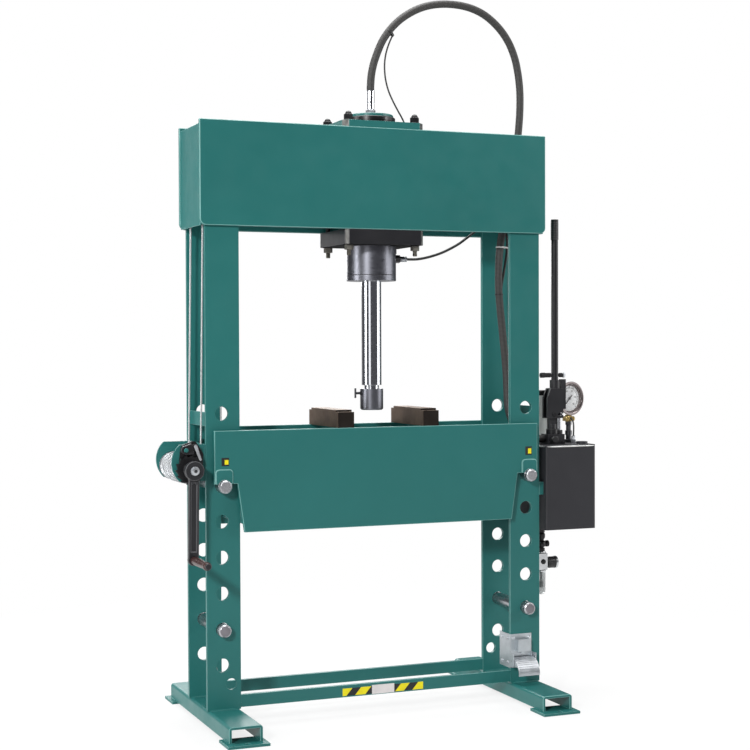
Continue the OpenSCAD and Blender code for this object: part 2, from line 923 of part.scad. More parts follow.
// Winch
// Plate of the winch's bracket, its outer edge one flat arc
module winch_plate_outline() {
  low = -winch_plate_low;
  high = winch_plate_high;
  intersection() {
    translate([-winch_plate_out, low]) square([winch_plate_out + winch_x, high - low]);
    translate([winch_plate_r - winch_plate_out, (high + low) / 2]) circle(winch_plate_r, $fn = 96);
  }
}

module winch_bracket() {
  deep = winch_back_y + winch_plate_t;
  color(paint) difference() {
    union() {
      for (y = [winch_front_y - winch_plate_t, winch_back_y]) translate([-winch_axis_x, 0, winch_z])
        wall_y(y, y + winch_plate_t) winch_plate_outline();
      block([-bar_out_x - winch_base_t, -bar_out_x], [-beam_in, beam_in],
        [winch_z - winch_plate_low, winch_z + winch_plate_high]);
    }
    translate([-winch_axis_x, 0, winch_z]) rod_y(shaft_d + 2 * run_gap, -beam_in - over, deep + over);
    translate([-winch_axis_x + pawl_x, 0, winch_z + pawl_z])
      rod_y(pawl_bolt_d + 2 * run_gap, -beam_in - over, -beam_in + winch_plate_t + over);
  }
}

// Saw-toothed outline of the ratchet wheel
module ratchet_outline() {
  step = 360 / ratchet_teeth;
  polygon([for (k = [0:ratchet_teeth - 1]) each [
    ratchet_r * [cos(k * step), sin(k * step)],
    ratchet_root_r * [cos((k + 1) * step), sin((k + 1) * step)],
  ]]);
}

// Drum with its turns of cable, its shaft and the ratchet wheel on it
module winch_drum() {
  front = winch_front_y + drum_gap;
  back = winch_back_y - drum_gap;
  length = back - front;
  turns = floor((length - 2 * turn_end) / cable_d);
  ratchet_y = -beam_in - ratchet_gap;
  color(steel) translate([-winch_axis_x, 0, winch_z]) union() {
    translate([0, back, 0]) rotate([90, 0, 0]) rotate_extrude() union() {
      square([drum_r, length]);
      for (k = [0:turns - 1]) translate([drum_r + cable_d / 2, turn_end + k * cable_d + cable_d / 2])
        circle(d = turn_d, $fn = 24);
      translate([0, turn_end]) square([drum_r + cable_d / 2, turns * cable_d]);
    }
    rod_y(shaft_d, crank_y - crank_hub_t + over, winch_back_y + winch_plate_t + shaft_back);
    wall_y(ratchet_y - ratchet_t, ratchet_y) ratchet_outline();
    translate([0, crank_y - crank_hub_t + over, 0]) rotate([90, 0, 0])
      cylinder(d = crank_nut_d, h = crank_nut_h, $fn = 6);
  }
}

// Pawl that rides just over the teeth, with its tail for the hand
module ratchet_pawl() {
  y = -beam_in - ratchet_gap;
  tip_z = ratchet_r + pawl_tip_gap;
  color(black) translate([-winch_axis_x, 0, winch_z]) difference() {
    wall_y(y - (pawl_t + ratchet_t) / 2, y + (pawl_t - ratchet_t) / 2) union() {
      translate([pawl_x, pawl_z]) circle(pawl_boss_r);
      polygon([
        [pawl_x - pawl_boss_r, pawl_z], [pawl_x, pawl_z - pawl_boss_r],
        [pawl_tip_x, tip_z], [pawl_tip_x, tip_z + pawl_tip_w], [pawl_x + pawl_boss_r, pawl_z],
      ]);
      polygon([
        [pawl_x, pawl_z + pawl_boss_r], [pawl_x + pawl_boss_r, pawl_z],
        [pawl_x + pawl_tail_x + pawl_tail_w, pawl_z + pawl_tail_z - pawl_tail_w],
        [pawl_x + pawl_tail_x, pawl_z + pawl_tail_z],
      ]);
    }
    translate([pawl_x, 0, pawl_z]) rod_y(pawl_bolt_d + 2 * run_gap, y - pawl_t - over, y + pawl_t);
  }
}

// Crank arm with a pocket on both faces and the pin that carries its grip
module crank_arm() {
  hub_front = crank_y - crank_hub_t;
  arm_front = crank_y - crank_t;
  pocket_w = crank_w - 2 * crank_rib;
  pocket_from = crank_hub_d / 2 + crank_rib;
  pocket_to = crank_len - crank_boss_d / 2 - crank_rib;
  pin_end = arm_front - grip_gap - grip_len - grip_gap;
  color(black) translate([-winch_axis_x, 0, winch_z]) rotate([0, crank_lean, 0]) difference() {
    union() {
      rod_y(crank_hub_d, hub_front + 2 * over, crank_y);
      block([-crank_w / 2, crank_w / 2], [arm_front, crank_y], [-crank_len, 0]);
      translate([0, 0, -crank_len]) {
        rod_y(crank_boss_d, arm_front, crank_y);
        rod_y(grip_pin_d, pin_end, arm_front + over);
        rod_y(grip_cap_d, pin_end - grip_cap_h, pin_end);
      }
    }
    rod_y(shaft_d + 2 * run_gap, hub_front - over, crank_y + over);
    for (y = [arm_front - over, crank_y - crank_pocket])
      block([-pocket_w / 2, pocket_w / 2], [y, y + crank_pocket + over], [-pocket_to, -pocket_from]);
  }
}

module crank_grip() {
  front = crank_y - crank_t - grip_gap - grip_len;
  color(brown) translate([-winch_axis_x, 0, winch_z]) rotate([0, crank_lean, 0])
    translate([0, 0, -crank_len]) difference() {
      rod_y(grip_d, front, front + grip_len);
      rod_y(grip_pin_d + 2 * run_gap, front - over, front + grip_len + over);
    }
}

// Sheave with a round groove, its axle along Y
module sheave(y) {
  translate([0, y + sheave_w / 2, 0]) rotate([90, 0, 0]) rotate_extrude() difference() {
    translate([axle_d / 2 + run_gap, 0])
      square([sheave_r + sheave_lip - axle_d / 2 - run_gap, sheave_w]);
    translate([sheave_r, sheave_w / 2]) circle(d = cable_d + 2 * seat_gap);
    translate([sheave_r, (sheave_w - cable_d) / 2 - seat_gap])
      square([sheave_lip + over, cable_d + 2 * seat_gap]);
  }
}

module sheaves_left() {
  color(steel) for (y = [cable_front_y, cable_back_y])
    translate([-sheave_x, 0, sheave_z]) sheave(y);
}

module sheave_right() { color(steel) translate([right_sheave_x, 0, sheave_z]) sheave(cable_front_y); }

// Axles of the sheaves, the pawl's bolt, the pump lever's pin and the pedal's pin
module hinge_pins() {
  pawl_back = -beam_in + winch_plate_t;
  pawl_front = -beam_in - ratchet_gap - pawl_t;
  cheek_out = cheek_gap / 2 + cheek_t;
  pedal_x = bar_span / 2 + pedal_plate_w / 2;
  ear_out = pedal_w / 2 + pedal_ear_gap + pedal_ear_t;
  color(steel) {
    translate([-sheave_x, 0, sheave_z]) rod_y(axle_d, -bar_in_y, bar_in_y);
    translate([right_sheave_x, 0, sheave_z]) rod_y(axle_d, -beam_in, beam_in);
    translate([-winch_axis_x + pawl_x, 0, winch_z + pawl_z]) rod_y(pawl_bolt_d, pawl_front, pawl_back);
    translate([pump_x, 0, pivot_z]) rod_y(pivot_d, pump_y - cheek_out, pump_y + cheek_out);
    translate([0, pedal_hinge_y, pedal_hinge_z])
      rod_x(pedal_pin_d, pedal_x - ear_out, pedal_x + ear_out);
  }
}

// Part of a cable that lies on a sheave, between two angles
module sheave_bend(y, from, to) {
  translate([0, y, 0]) rotate([90, 0, 0]) rotate([0, 0, from])
    rotate_extrude(angle = to - from) translate([sheave_r, 0]) circle(d = cable_d);
}

// Cable from the drum up to the left sheaves, at a slight slant
module cable_rise(y) {
  low = [-winch_axis_x + drum_cable_r, winch_z];
  high = [-cable_x, sheave_z];
  lean = atan2(high[0] - low[0], high[1] - low[1]);
  translate([low[0], y, low[1]]) rotate([0, lean, 0]) cylinder(d = cable_d, h = norm(high - low));
}

module lift_cables() {
  color(chrome) {
    union() {
      cable_rise(cable_back_y);
      translate([-sheave_x, 0, sheave_z]) sheave_bend(cable_back_y, 0, 180);
    }
    union() {
      cable_rise(cable_front_y);
      translate([-sheave_x, 0, sheave_z]) sheave_bend(cable_front_y, 90, 180);
      translate([0, cable_front_y, sheave_z + sheave_r]) rod_x(cable_d, -sheave_x, right_sheave_x);
      translate([right_sheave_x, 0, sheave_z]) sheave_bend(cable_front_y, 0, 90);
    }
  }
}

// Falling parts of the lift cables, from the sheaves to the table's lugs
module cable_drops() {
  low = table_top - lug_drop;
  color(chrome) for (place = [[-cable_drop_x, cable_back_y], [cable_drop_x, cable_front_y]])
    translate([place[0], place[1], low]) cylinder(d = cable_d, h = sheave_z - low);
}

// Oil tank, folded from sheet and open at the top under its lid
module oil_tank() {
  color(black) translate([tank_x, tank_y, tank_z]) difference() {
    linear_extrude(height = tank_h) rounded(tank_w, tank_d, tank_corner_r);
    translate([tank_wall, tank_wall, tank_wall])
      cube([tank_w - 2 * tank_wall, tank_d - 2 * tank_wall, tank_h]);
  }
}

// Lid with its filler cap, the return port and the port of the gauge line
module tank_lid() {
  color(black) union() {
    translate([tank_x, tank_y, tank_top]) linear_extrude(height = lid_t)
      rounded(tank_w, tank_d, tank_corner_r);
    translate([tank_x + filler_x, tank_y + filler_y, lid_top - over])
      cylinder(d = filler_d, h = filler_h + over);
    block([tank_x + return_port_x, tank_x + return_port_x + return_port_w],
      [return_port_y - return_port_w / 2, return_port_y + return_port_w / 2],
      [tank_top, lid_top + return_port_z]);
    translate([line_port_x, line_port_y, lid_top - over])
      cylinder(d = line_port_d, h = line_port_h + over);
  }
}

// Pump block with the post that carries the lever, bored for the plunger
module pump_base() {
  color(black) translate([pump_x, pump_y, 0]) difference() {
    union() {
      block([-base_left, base_right], [-base_deep, base_deep], [lid_top, lid_top + base_h]);
      translate([0, 0, lid_top + base_h]) cylinder(d = post_d, h = post_h);
      wall_y(-tongue_t / 2, tongue_t / 2) union() {
        translate([-tongue_w / 2, lid_top + base_h])
          square([tongue_w, pivot_rise - base_h]);
        translate([0, pivot_z]) circle(d = tongue_w);
      }
      translate([0, 0, lid_top + inlet_rise])
        rod_x(ferrule_d, -base_left - inlet_len, -base_left + over);
    }
    translate([0, 0, pivot_z]) rod_y(pivot_d + 2 * run_gap, -tongue_t, tongue_t);
    translate([plunger_x, 0, plunger_floor])
      cylinder(d = plunger_d + 2 * seat_gap, h = pivot_rise);
    translate([knob_x, 0, lid_top + knob_rise])
      rod_y(knob_stem_d + 2 * run_gap, -base_deep - over, -base_deep + knob_in);
  }
}

// Release valve's knob, its stem turning in the pump block
module release_knob() {
  face = -base_deep - knob_gap;
  color(black) translate([pump_x + knob_x, pump_y, lid_top + knob_rise]) union() {
    rod_y(knob_stem_d, face - over, -base_deep + knob_in - over);
    rod_y(knob_d, face - knob_len, face);
  }
}

// Plunger with the cross pin that the lever drives
module pump_plunger() {
  low = plunger_floor + plunger_stroke + over;
  cheek_out = cheek_gap / 2 + cheek_t;
  color(chrome) translate([pump_x + plunger_x, pump_y, 0]) union() {
    translate([0, 0, low]) cylinder(d = plunger_d, h = pivot_z + plunger_head - low);
    translate([0, 0, pivot_z]) rod_y(plunger_pin_d, -cheek_out, cheek_out);
  }
}

// Fork that holds the lever's tube, slotted where it drives the plunger's pin
module lever_socket() {
  cheek_out = cheek_gap / 2 + cheek_t;
  color(black) translate([pump_x, pump_y, pivot_z]) difference() {
    union() {
      for (y = [-cheek_out, cheek_gap / 2]) wall_y(y, y + cheek_t) polygon([
        [-cheek_back, -cheek_low], [cheek_front, -cheek_low], [cheek_front, cheek_h],
        [-cheek_back / 2, cheek_h], [-cheek_back, cheek_h - cheek_slant],
      ]);
      block([-cheek_back / 2, cheek_front], [-cheek_out, cheek_out], [cheek_h - socket_web, cheek_h]);
      translate([lever_x, 0, cheek_h - over]) cylinder(d = socket_d, h = socket_top - cheek_h + over);
      block([cheek_front - over, cheek_front + link_w], [-link_d / 2, link_d / 2],
        [link_low, link_high]);
    }
    rod_y(pivot_d + 2 * run_gap, -cheek_out - over, cheek_out + over);
    wall_y(-cheek_out - over, cheek_out + over) union() {
      for (x = [plunger_x - slot_reach, plunger_x + slot_reach / 2]) translate([x, 0])
        circle(d = plunger_pin_d + 2 * slot_gap);
      translate([plunger_x - slot_reach, -plunger_pin_d / 2 - slot_gap])
        square([slot_reach * 3 / 2, plunger_pin_d + 2 * slot_gap]);
    }
    translate([lever_x, 0, socket_top - lever_in])
      cylinder(d = lever_d + 2 * run_gap, h = lever_in + over);
  }
}

// Lever tube with its grip and the cross bolt that clamps it
module pump_lever() {
  low = pivot_z + socket_top - lever_in;
  color(black) translate([pump_x + lever_x, pump_y, 0]) union() {
    translate([0, 0, low]) cylinder(d = lever_d, h = lever_top - low);
    translate([0, 0, lever_top - lever_grip_len]) cylinder(d = lever_grip_d, h = lever_grip_len);
    translate([0, 0, pivot_z + bolt_rise]) rod_x(bolt_d, -bolt_left, bolt_right);
  }
}

// Pressure gauge, its face turned a little towards the pump's side
module gauge_place() {
  translate([gauge_x, gauge_mid_y, gauge_z]) rotate([0, 0, gauge_turn])
    translate([0, -gauge_mid_y, 0]) children();
}

module gauge_case() {
  color(black) gauge_place() difference() {
    rod_y(gauge_d, gauge_y, gauge_y + gauge_t);
    rod_y(gauge_d - 2 * gauge_wall, gauge_y - over, gauge_y + dial_in);
  }
}

module gauge_dial() {
  color(white) gauge_place() difference() {
    rod_y(gauge_d - 2 * gauge_wall - 2 * run_gap, gauge_y + dial_in - dial_t, gauge_y + dial_in);
    rod_y(spindle_d + 2 * run_gap, gauge_y, gauge_y + gauge_t);
  }
}

module gauge_glass() {
  color(white) gauge_place()
    rod_y(gauge_d - 2 * gauge_wall - 2 * run_gap, gauge_y + glass_in, gauge_y + glass_in + glass_t);
}

// Needle with its spindle, pointing down to the left at rest
module gauge_needle() {
  face = gauge_y + dial_in - dial_t;
  color(black) gauge_place() union() {
    rod_y(needle_hub_d, face - needle_rise, face - needle_rise + needle_t);
    rod_y(spindle_d, face - needle_rise, face + dial_t - seat_gap);
    rotate([0, needle_rest, 0]) block([-needle_w / 2, needle_w / 2],
      [face - needle_rise, face - needle_rise + needle_t], [-needle_len, needle_tail]);
  }
}

// Steel stem and brass tee that carry the gauge
module gauge_stem() {
  tee_top = gauge_z - gauge_d / 2 - seat_gap;
  color(brass) translate([gauge_x, gauge_mid_y, 0]) union() {
    translate([0, 0, lid_top]) cylinder(d = stem_foot_d, h = stem_foot_h, $fn = 6);
    translate([0, 0, lid_top]) cylinder(d = stem_d, h = tee_top - tee_h - lid_top + over);
    block([-tee_w / 2, tee_w / 2], [-tee_d / 2, tee_d / 2], [tee_top - tee_h, tee_top]);
    translate([banjo_x, 0, tee_top - tee_h / 2]) rod_y(banjo_d, -tee_d / 2 - banjo_len, 0);
  }
}

// Air motor behind the lever pump, between two caps
module air_motor() {
  color(steel) translate([air_x, air_y, lid_top]) union() {
    cylinder(d = air_cap_d, h = air_cap_h);
    cylinder(d = air_d, h = air_h);
    translate([0, 0, air_h - air_cap_h]) cylinder(d = air_cap_d, h = air_cap_h);
  }
}

// Filter regulator under the tank, with its bowl
module regulator_body() {
  color(steel) translate([reg_x, reg_y, 0]) difference() {
    union() {
      block([-reg_w / 2, reg_w / 2], [-reg_w / 2, reg_w / 2], [reg_z, reg_z + reg_h]);
      translate([0, 0, reg_z + reg_h - over])
        cylinder(d = reg_nipple_d, h = tank_z - reg_z - reg_h + over);
      translate([0, 0, reg_z + reg_h]) cylinder(d = reg_hex_d, h = reg_hex_h, $fn = 6);
      translate([0, 0, tank_z - reg_hex_h]) cylinder(d = reg_hex_d, h = reg_hex_h, $fn = 6);
      translate([0, 0, reg_z - bowl_h + bowl_d / 2])
        cylinder(d = bowl_d, h = bowl_h - bowl_d / 2 + over);
      translate([0, 0, reg_z - bowl_h + bowl_d / 2]) sphere(d = bowl_d);
      translate([0, 0, reg_z + reg_knob_z]) rod_x(reg_boss_d, 0, reg_w / 2 + reg_boss_len);
    }
    translate([0, 0, reg_z + reg_knob_z])
      rod_x(reg_axle_d + 2 * run_gap, reg_w / 2 - reg_axle_in, reg_w / 2 + reg_boss_len + over);
  }
}

module regulator_knob() {
  near = reg_w / 2 + reg_boss_len + seat_gap;
  color(black) translate([reg_x, reg_y, reg_z + reg_knob_z]) union() {
    rod_x(reg_knob_d, near, near + reg_knob_len);
    rod_x(reg_axle_d, reg_w / 2 - reg_axle_in + over, near + over);
  }
}

// Pedal
// Folded bracket round the upright's inner edge, with the pedal's ears and the air valve
module pedal_bracket() {
  left = bar_span / 2 - pedal_plate_t;
  right = bar_span / 2 + pedal_plate_w;
  front = -beam_in - pedal_plate_t;
  middle = bar_span / 2 + pedal_plate_w / 2;
  top = pedal_bracket_z + pedal_bracket_h;
  ear_from = pedal_w / 2 + pedal_ear_gap;
  ear_low = pedal_hinge_z - pedal_ear_low;
  valve_z = pedal_bracket_z + valve_rise;
  color(steel) difference() {
    union() {
      block([left, right], [front, -beam_in], [pedal_bracket_z, top]);
      block([left, bar_span / 2], [front, front + pedal_side_d], [pedal_bracket_z, top]);
      for (x = [middle - ear_from - pedal_ear_t, middle + ear_from])
        block([x, x + pedal_ear_t], [front - pedal_ear_d, front + over],
          [ear_low, ear_low + pedal_ear_h]);
      block([middle - ear_from - pedal_ear_t, middle + ear_from + pedal_ear_t],
        [front, -beam_in], [ear_low, ear_low + pedal_ear_h]);
      block([middle - valve_w / 2, middle + valve_w / 2], [front - valve_d, front + over],
        [valve_z, valve_z + valve_h]);
      translate([middle, front - valve_d / 2, valve_z - button_h])
        cylinder(d = button_d, h = button_h + over);
    }
    translate([0, pedal_hinge_y, pedal_hinge_z])
      rod_x(pedal_pin_d + 2 * run_gap, left - pedal_w, right + pedal_w);
  }
}

// Quarter-round tread between two cheeks that hang on the pin
module pedal() {
  middle = bar_span / 2 + pedal_plate_w / 2;
  inner = pedal_r - pedal_t;
  color(steel) difference() {
    union() {
      wall_x(middle - pedal_w / 2, middle + pedal_w / 2)
        translate([pedal_centre_y, pedal_centre_z]) intersection() {
          difference() {
            circle(pedal_r);
            circle(inner);
          }
          translate([-pedal_r - over, 0]) square([pedal_r + over, pedal_r + over]);
        }
      for (x = [middle - pedal_w / 2, middle + pedal_w / 2 - pedal_cheek_t])
        wall_x(x, x + pedal_cheek_t) translate([pedal_centre_y, pedal_centre_z]) intersection() {
          circle(pedal_r - pedal_t / 2);
          translate([-pedal_r, pedal_r / 2]) square([pedal_r, pedal_r]);
        }
    }
    translate([0, pedal_hinge_y, pedal_hinge_z])
      rod_x(pedal_pin_d + 2 * run_gap, middle - pedal_w, middle + pedal_w);
  }
}

beam_front();
beam_back();
beam_ends();
upright_front_left();
upright_back_left();
upright_front_right();
upright_back_right();
frame_ties();
foot_left();
foot_right();
floor_pads();
cross_rails();
support_pins();
cylinder_flange();
cylinder_barrel();
cylinder_gland();
cylinder_cap();
cylinder_top_plate();
clamp_studs();
hose_fittings();
pressure_hose();
return_hose();
hose_tether();
gauge_line();
ram_piston();
ram_rod();
ram_nose();
nose_screw();
table_front();
table_back();
table_ends();
press_block_left();
press_block_right();
winch_bracket();
winch_drum();
ratchet_pawl();
crank_arm();
crank_grip();
sheaves_left();
sheave_right();
hinge_pins();
lift_cables();
cable_drops();
oil_tank();
tank_lid();
pump_base();
release_knob();
pump_plunger();
lever_socket();
pump_lever();
gauge_case();
gauge_dial();
gauge_needle();
gauge_glass();
gauge_stem();
air_motor();
regulator_body();
regulator_knob();
pedal_bracket();
pedal();
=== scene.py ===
"""Studio scene of a workshop hydraulic press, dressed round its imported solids."""
import json
import math
import bmesh
import bpy
from contextlib import contextmanager
from mathutils import Matrix, Vector


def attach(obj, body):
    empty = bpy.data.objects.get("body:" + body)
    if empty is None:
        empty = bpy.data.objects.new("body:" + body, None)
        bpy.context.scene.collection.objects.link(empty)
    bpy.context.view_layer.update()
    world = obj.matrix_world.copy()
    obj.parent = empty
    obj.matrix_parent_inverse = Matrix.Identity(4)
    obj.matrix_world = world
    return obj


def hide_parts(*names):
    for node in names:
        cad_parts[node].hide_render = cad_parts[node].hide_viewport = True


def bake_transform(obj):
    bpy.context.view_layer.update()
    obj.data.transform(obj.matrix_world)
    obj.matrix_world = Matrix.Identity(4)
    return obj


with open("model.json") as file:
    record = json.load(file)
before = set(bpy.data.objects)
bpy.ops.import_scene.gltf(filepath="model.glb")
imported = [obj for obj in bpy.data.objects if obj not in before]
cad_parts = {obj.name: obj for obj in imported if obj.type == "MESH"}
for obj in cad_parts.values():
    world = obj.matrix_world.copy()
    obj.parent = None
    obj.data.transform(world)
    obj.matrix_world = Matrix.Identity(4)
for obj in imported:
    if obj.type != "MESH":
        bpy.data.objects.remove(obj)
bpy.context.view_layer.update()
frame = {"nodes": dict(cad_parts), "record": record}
nodes = frame["nodes"]
node_slot = {s["node"]: s["material_slot"] for s in frame["record"]["subparts"]}
node_body = {n: b for b, group in frame["record"]["behaviour"]["bodies"].items() for n in group}
scene = bpy.context.scene
scene.view_settings.view_transform = "Standard"
MM = 0.001

# Camera, at the photograph's place
YAW, PITCH, ROLL = 22.264, 1.1988, -0.2042
EYE = (-1.76428, -4.42662, 1.09736)
LENS, SENSOR, SHIFT = 75.61, 36, (-0.00845, 0.0033)


def place_camera():
    yaw, pitch, roll = (math.radians(a) for a in (YAW, PITCH, ROLL))
    ahead = Vector((math.sin(yaw) * math.cos(pitch), math.cos(yaw) * math.cos(pitch), -math.sin(pitch)))
    right = Vector((math.cos(yaw), -math.sin(yaw), 0))
    up = right.cross(ahead)
    turned_right = right * math.cos(roll) + up * math.sin(roll)
    turned_up = up * math.cos(roll) - right * math.sin(roll)
    data = bpy.data.cameras.new("camera")
    data.sensor_width = SENSOR
    data.lens = LENS
    data.shift_x, data.shift_y = SHIFT
    camera = bpy.data.objects.new("camera", data)
    place = Matrix((turned_right, turned_up, -ahead)).transposed().to_4x4()
    place.translation = Vector(EYE)
    camera.matrix_world = place
    scene.collection.objects.link(camera)
    scene.camera = camera


place_camera()


# Materials
def rgba(rgb, gain=1.0):
    """Display values from 0 to 255 as a linear colour, made lighter or darker."""
    out = []
    for value in rgb:
        c = value / 255
        c = c / 12.92 if c <= 0.04045 else ((c + 0.055) / 1.055) ** 2.4
        out.append(min(1.0, c * gain))
    return out + [1.0]


NOISE_ROUGHNESS = 0.55
NOISE_SPAN = (0.3, 0.7)


def put(tree, kind, inputs, **settings):
    """A shader node with its settings, and a link or a plain value on each input that is named."""
    node = tree.nodes.new("ShaderNode" + kind)
    for key, value in settings.items():
        setattr(node, key, value)
    for key, value in inputs.items():
        if isinstance(value, bpy.types.NodeSocket):
            tree.links.new(value, node.inputs[key])
        else:
            node.inputs[key].default_value = value
    return node


class Shader:
    """A material's node tree with short calls for what each surface here needs."""

    def __init__(self, name, rgb, rough, metal=0.0, ior=1.5):
        self.mat = bpy.data.materials.new(name)
        self.mat.use_nodes = True
        self.tree = self.mat.node_tree
        self.inputs = self.tree.nodes["Principled BSDF"].inputs
        self.rgb = rgb
        values = {"Base Color": rgba(rgb), "Roughness": rough, "Metallic": metal, "IOR": ior}
        for key, value in values.items():
            self.inputs[key].default_value = value
        coords = put(self.tree, "TexCoord", {})
        self.place, self.uv = coords.outputs["Object"], coords.outputs["UV"]
        self.normal = None

    def feed(self, key, source):
        self.tree.links.new(source, self.inputs[key])

    def stretched(self, source, scale):
        return put(self.tree, "Mapping", {"Vector": source, "Scale": scale}).outputs["Vector"]

    def noise(self, scale, detail=3.0, stretch=None):
        source = self.stretched(self.place, stretch) if stretch else self.place
        inputs = {"Vector": source, "Scale": scale, "Detail": detail, "Roughness": NOISE_ROUGHNESS}
        return put(self.tree, "TexNoise", inputs).outputs["Fac"]

    def strands(self, stretch, scale=5.0, distortion=0.0):
        """Slanting bands, drawn along a tube's own length and round it."""
        inputs = {"Vector": self.stretched(self.uv, stretch), "Scale": scale, "Distortion": distortion}
        return put(self.tree, "TexWave", inputs, wave_type="BANDS", bands_direction="DIAGONAL").outputs["Fac"]

    def shade(self, fac, *stops):
        """Base colour from a ramp of two stops."""
        ramp = put(self.tree, "ValToRGB", {"Fac": fac})
        for element, (at, colour) in zip(ramp.color_ramp.elements, stops):
            element.position, element.color = at, colour
        self.feed("Base Color", ramp.outputs["Color"])

    def vary(self, scale, amount):
        """Colour that drifts a little lighter and darker over the surface."""
        low, high = NOISE_SPAN
        dark, light = rgba(self.rgb, 1 - amount), rgba(self.rgb, 1 + amount)
        self.shade(self.noise(scale, 4.0), (low, dark), (high, light))

    def gloss(self, scale, low, high, stretch=None):
        """Roughness that wanders between two values."""
        spread = put(self.tree, "MapRange", {
            "Value": self.noise(scale, stretch=stretch), "From Min": NOISE_SPAN[0], "From Max": NOISE_SPAN[1],
            "To Min": low, "To Max": high})
        self.feed("Roughness", spread.outputs["Result"])

    def bump(self, height, distance, strength=1.0):
        """Relief, laid over the relief that is there."""
        inputs = {"Height": height, "Distance": distance, "Strength": strength}
        if self.normal is not None:
            inputs["Normal"] = self.normal
        self.normal = put(self.tree, "Bump", inputs).outputs["Normal"]
        self.feed("Normal", self.normal)


def paint(name, rgb, rough=0.36, drift=0.05):
    """Sprayed enamel: soft drift of colour and gloss, fine orange peel and slow waves."""
    s = Shader(name, rgb, rough)
    s.inputs["Specular IOR Level"].default_value = 0.35
    s.vary(3.0, drift)
    s.gloss(16, rough - 0.05, rough + 0.08)
    s.bump(s.noise(420, 2.0), 0.00006, 0.6)
    s.bump(s.noise(9, 2.0), 0.0006, 0.25)
    return s.mat


def bright(name, rgb, rough, stretch, scale=60, drift=0.08, deep=0.00004):
    """Bare metal with fine tool marks that run across the stretched axis."""
    s = Shader(name, rgb, rough, metal=1.0)
    s.vary(18, drift)
    s.gloss(scale, max(0.04, rough - 0.06), rough + 0.08, stretch)
    s.bump(s.noise(scale, stretch=stretch), deep, 0.5)
    return s.mat


def moulded(name, rgb, rough, deep=0.00005):
    """Plastic, rubber, enamel or print with a fine grain."""
    s = Shader(name, rgb, rough)
    s.vary(25, 0.08)
    s.gloss(40, rough - 0.06, rough + 0.08)
    s.bump(s.noise(900, 2.0), deep, 0.6)
    return s.mat


def hose_cover(name, rgb, turns, deep):
    """Spiral-wound cover, with so many turns to a metre."""
    s = Shader(name, rgb, 0.62)
    wave = s.strands((turns, 1, 1), scale=1.0, distortion=0.4)
    s.shade(wave, (0.0, rgba(rgb, 0.9)), (1.0, rgba(rgb, 1.08)))
    s.bump(wave, deep)
    s.bump(s.noise(500), 0.0001, 0.4)
    return s.mat


def wire_rope(name, rgb, metal, rough):
    """Bright strands laid round the rope."""
    s = Shader(name, rgb, rough, metal=metal)
    wave = s.strands((60, 1.2, 1))
    s.shade(wave, (0.1, rgba(rgb, 0.45)), (0.7, rgba(rgb, 1.02)))
    s.bump(wave, 0.0005)
    return s.mat


def clear(name):
    """Thin pane: nearly open, with a faint sharp reflection."""
    s = Shader(name, (247, 250, 250), 0.03)
    s.inputs["Alpha"].default_value = 0.05
    s.bump(s.noise(60), 0.00002, 0.2)
    return s.mat


def saw_cut(name):
    """Flame-cut and brushed steel face with strokes down it."""
    s = Shader(name, (120, 120, 120), 0.46, metal=0.6)
    fac = s.noise(70, 4.0, stretch=(7, 7, 0.6))
    s.shade(fac, (0.32, rgba((44, 43, 42))), (0.66, rgba((142, 141, 138))))
    s.bump(fac, 0.0003)
    return s.mat


def frosted(name, rgb, through):
    """Cloudy plastic that lets a share of the light through."""
    s = Shader(name, rgb, 0.34, ior=1.4)
    s.inputs["Transmission Weight"].default_value = through
    s.vary(20, 0.05)
    s.bump(s.noise(300), 0.00005, 0.5)
    return s.mat


# Painted highlights on eased edges, the slots' own materials, and the finishes of single pieces
# Lighter paints that stand for the light caught along eased edges: painted highlights, not wear
EDGE_HIGHLIGHT_MATS = {
    "green_paint": paint("green_edge_highlight", (118, 170, 165), 0.36, 0.12),
    "black_paint": paint("black_edge_highlight", (88, 88, 91), 0.34, 0.2),
}
MATS = {
    "green_paint": paint("green_enamel", (42, 112, 109)),
    "black_paint": paint("black_enamel", (38, 38, 41), 0.34, 0.12),
    "turned_steel": bright("turned_steel", (182, 182, 186), 0.3, (1, 1, 12), drift=0.04, deep=0.00001),
    "bright_steel": bright("hard_chrome", (205, 207, 212), 0.1, (1, 1, 6), deep=0.00001),
    "zinc": bright("zinc_plate", (212, 215, 219), 0.36, (1, 1, 1), drift=0.06, deep=0.00001),
    "hose_rubber": moulded("black_rubber", (40, 40, 40), 0.5),
    "knob_plastic": moulded("black_moulding", (26, 26, 28), 0.38),
    "grip_plastic": moulded("brown_moulding", (58, 34, 32), 0.3),
    "dial_white": moulded("dial_white", (238, 238, 233), 0.45, deep=0.00001),
    "gauge_glass": clear("gauge_glass"),
    "tee_brass": bright("brass", (214, 186, 118), 0.25, (1, 1, 8)),
}
CUT = saw_cut("cut_steel")
BROWN = bright("rolled_steel", (114, 97, 84), 0.52, (1, 8, 1), drift=0.2)
RIM_SHADE = moulded("dial_rim_shade", (66, 48, 46), 0.5)
GALVANISED = bright("galvanised", (190, 196, 200), 0.4, (1, 1, 1), drift=0.12, deep=0.00001)
CHROME_DARK_REFLECTION = bright("chrome_dark_reflection", (108, 101, 101), 0.2, (1, 6, 1), deep=0.000004)
DIAL = moulded("dial_enamel", (251, 252, 254), 0.45, deep=0.00001)
SAWN = bright("sawn_steel", (50, 45, 42), 0.5, (1, 1, 8), drift=0.2)
SATIN = bright("satin_cylinder", (114, 115, 122), 0.33, (1, 1, 9), drift=0.05, deep=0.00001)
STAINLESS = bright("stainless", (202, 204, 206), 0.2, (1, 6, 1), deep=0.00001)
AGED = bright("aged_zinc", (126, 123, 116), 0.42, (1, 1, 1), drift=0.25)
DULL_STEEL = bright("dull_steel", (138, 135, 140), 0.42, (1, 1, 1), drift=0.2)
POLISHED = bright("polished_steel", (168, 170, 174), 0.16, (1, 1, 6), drift=0.03, deep=0.000004)
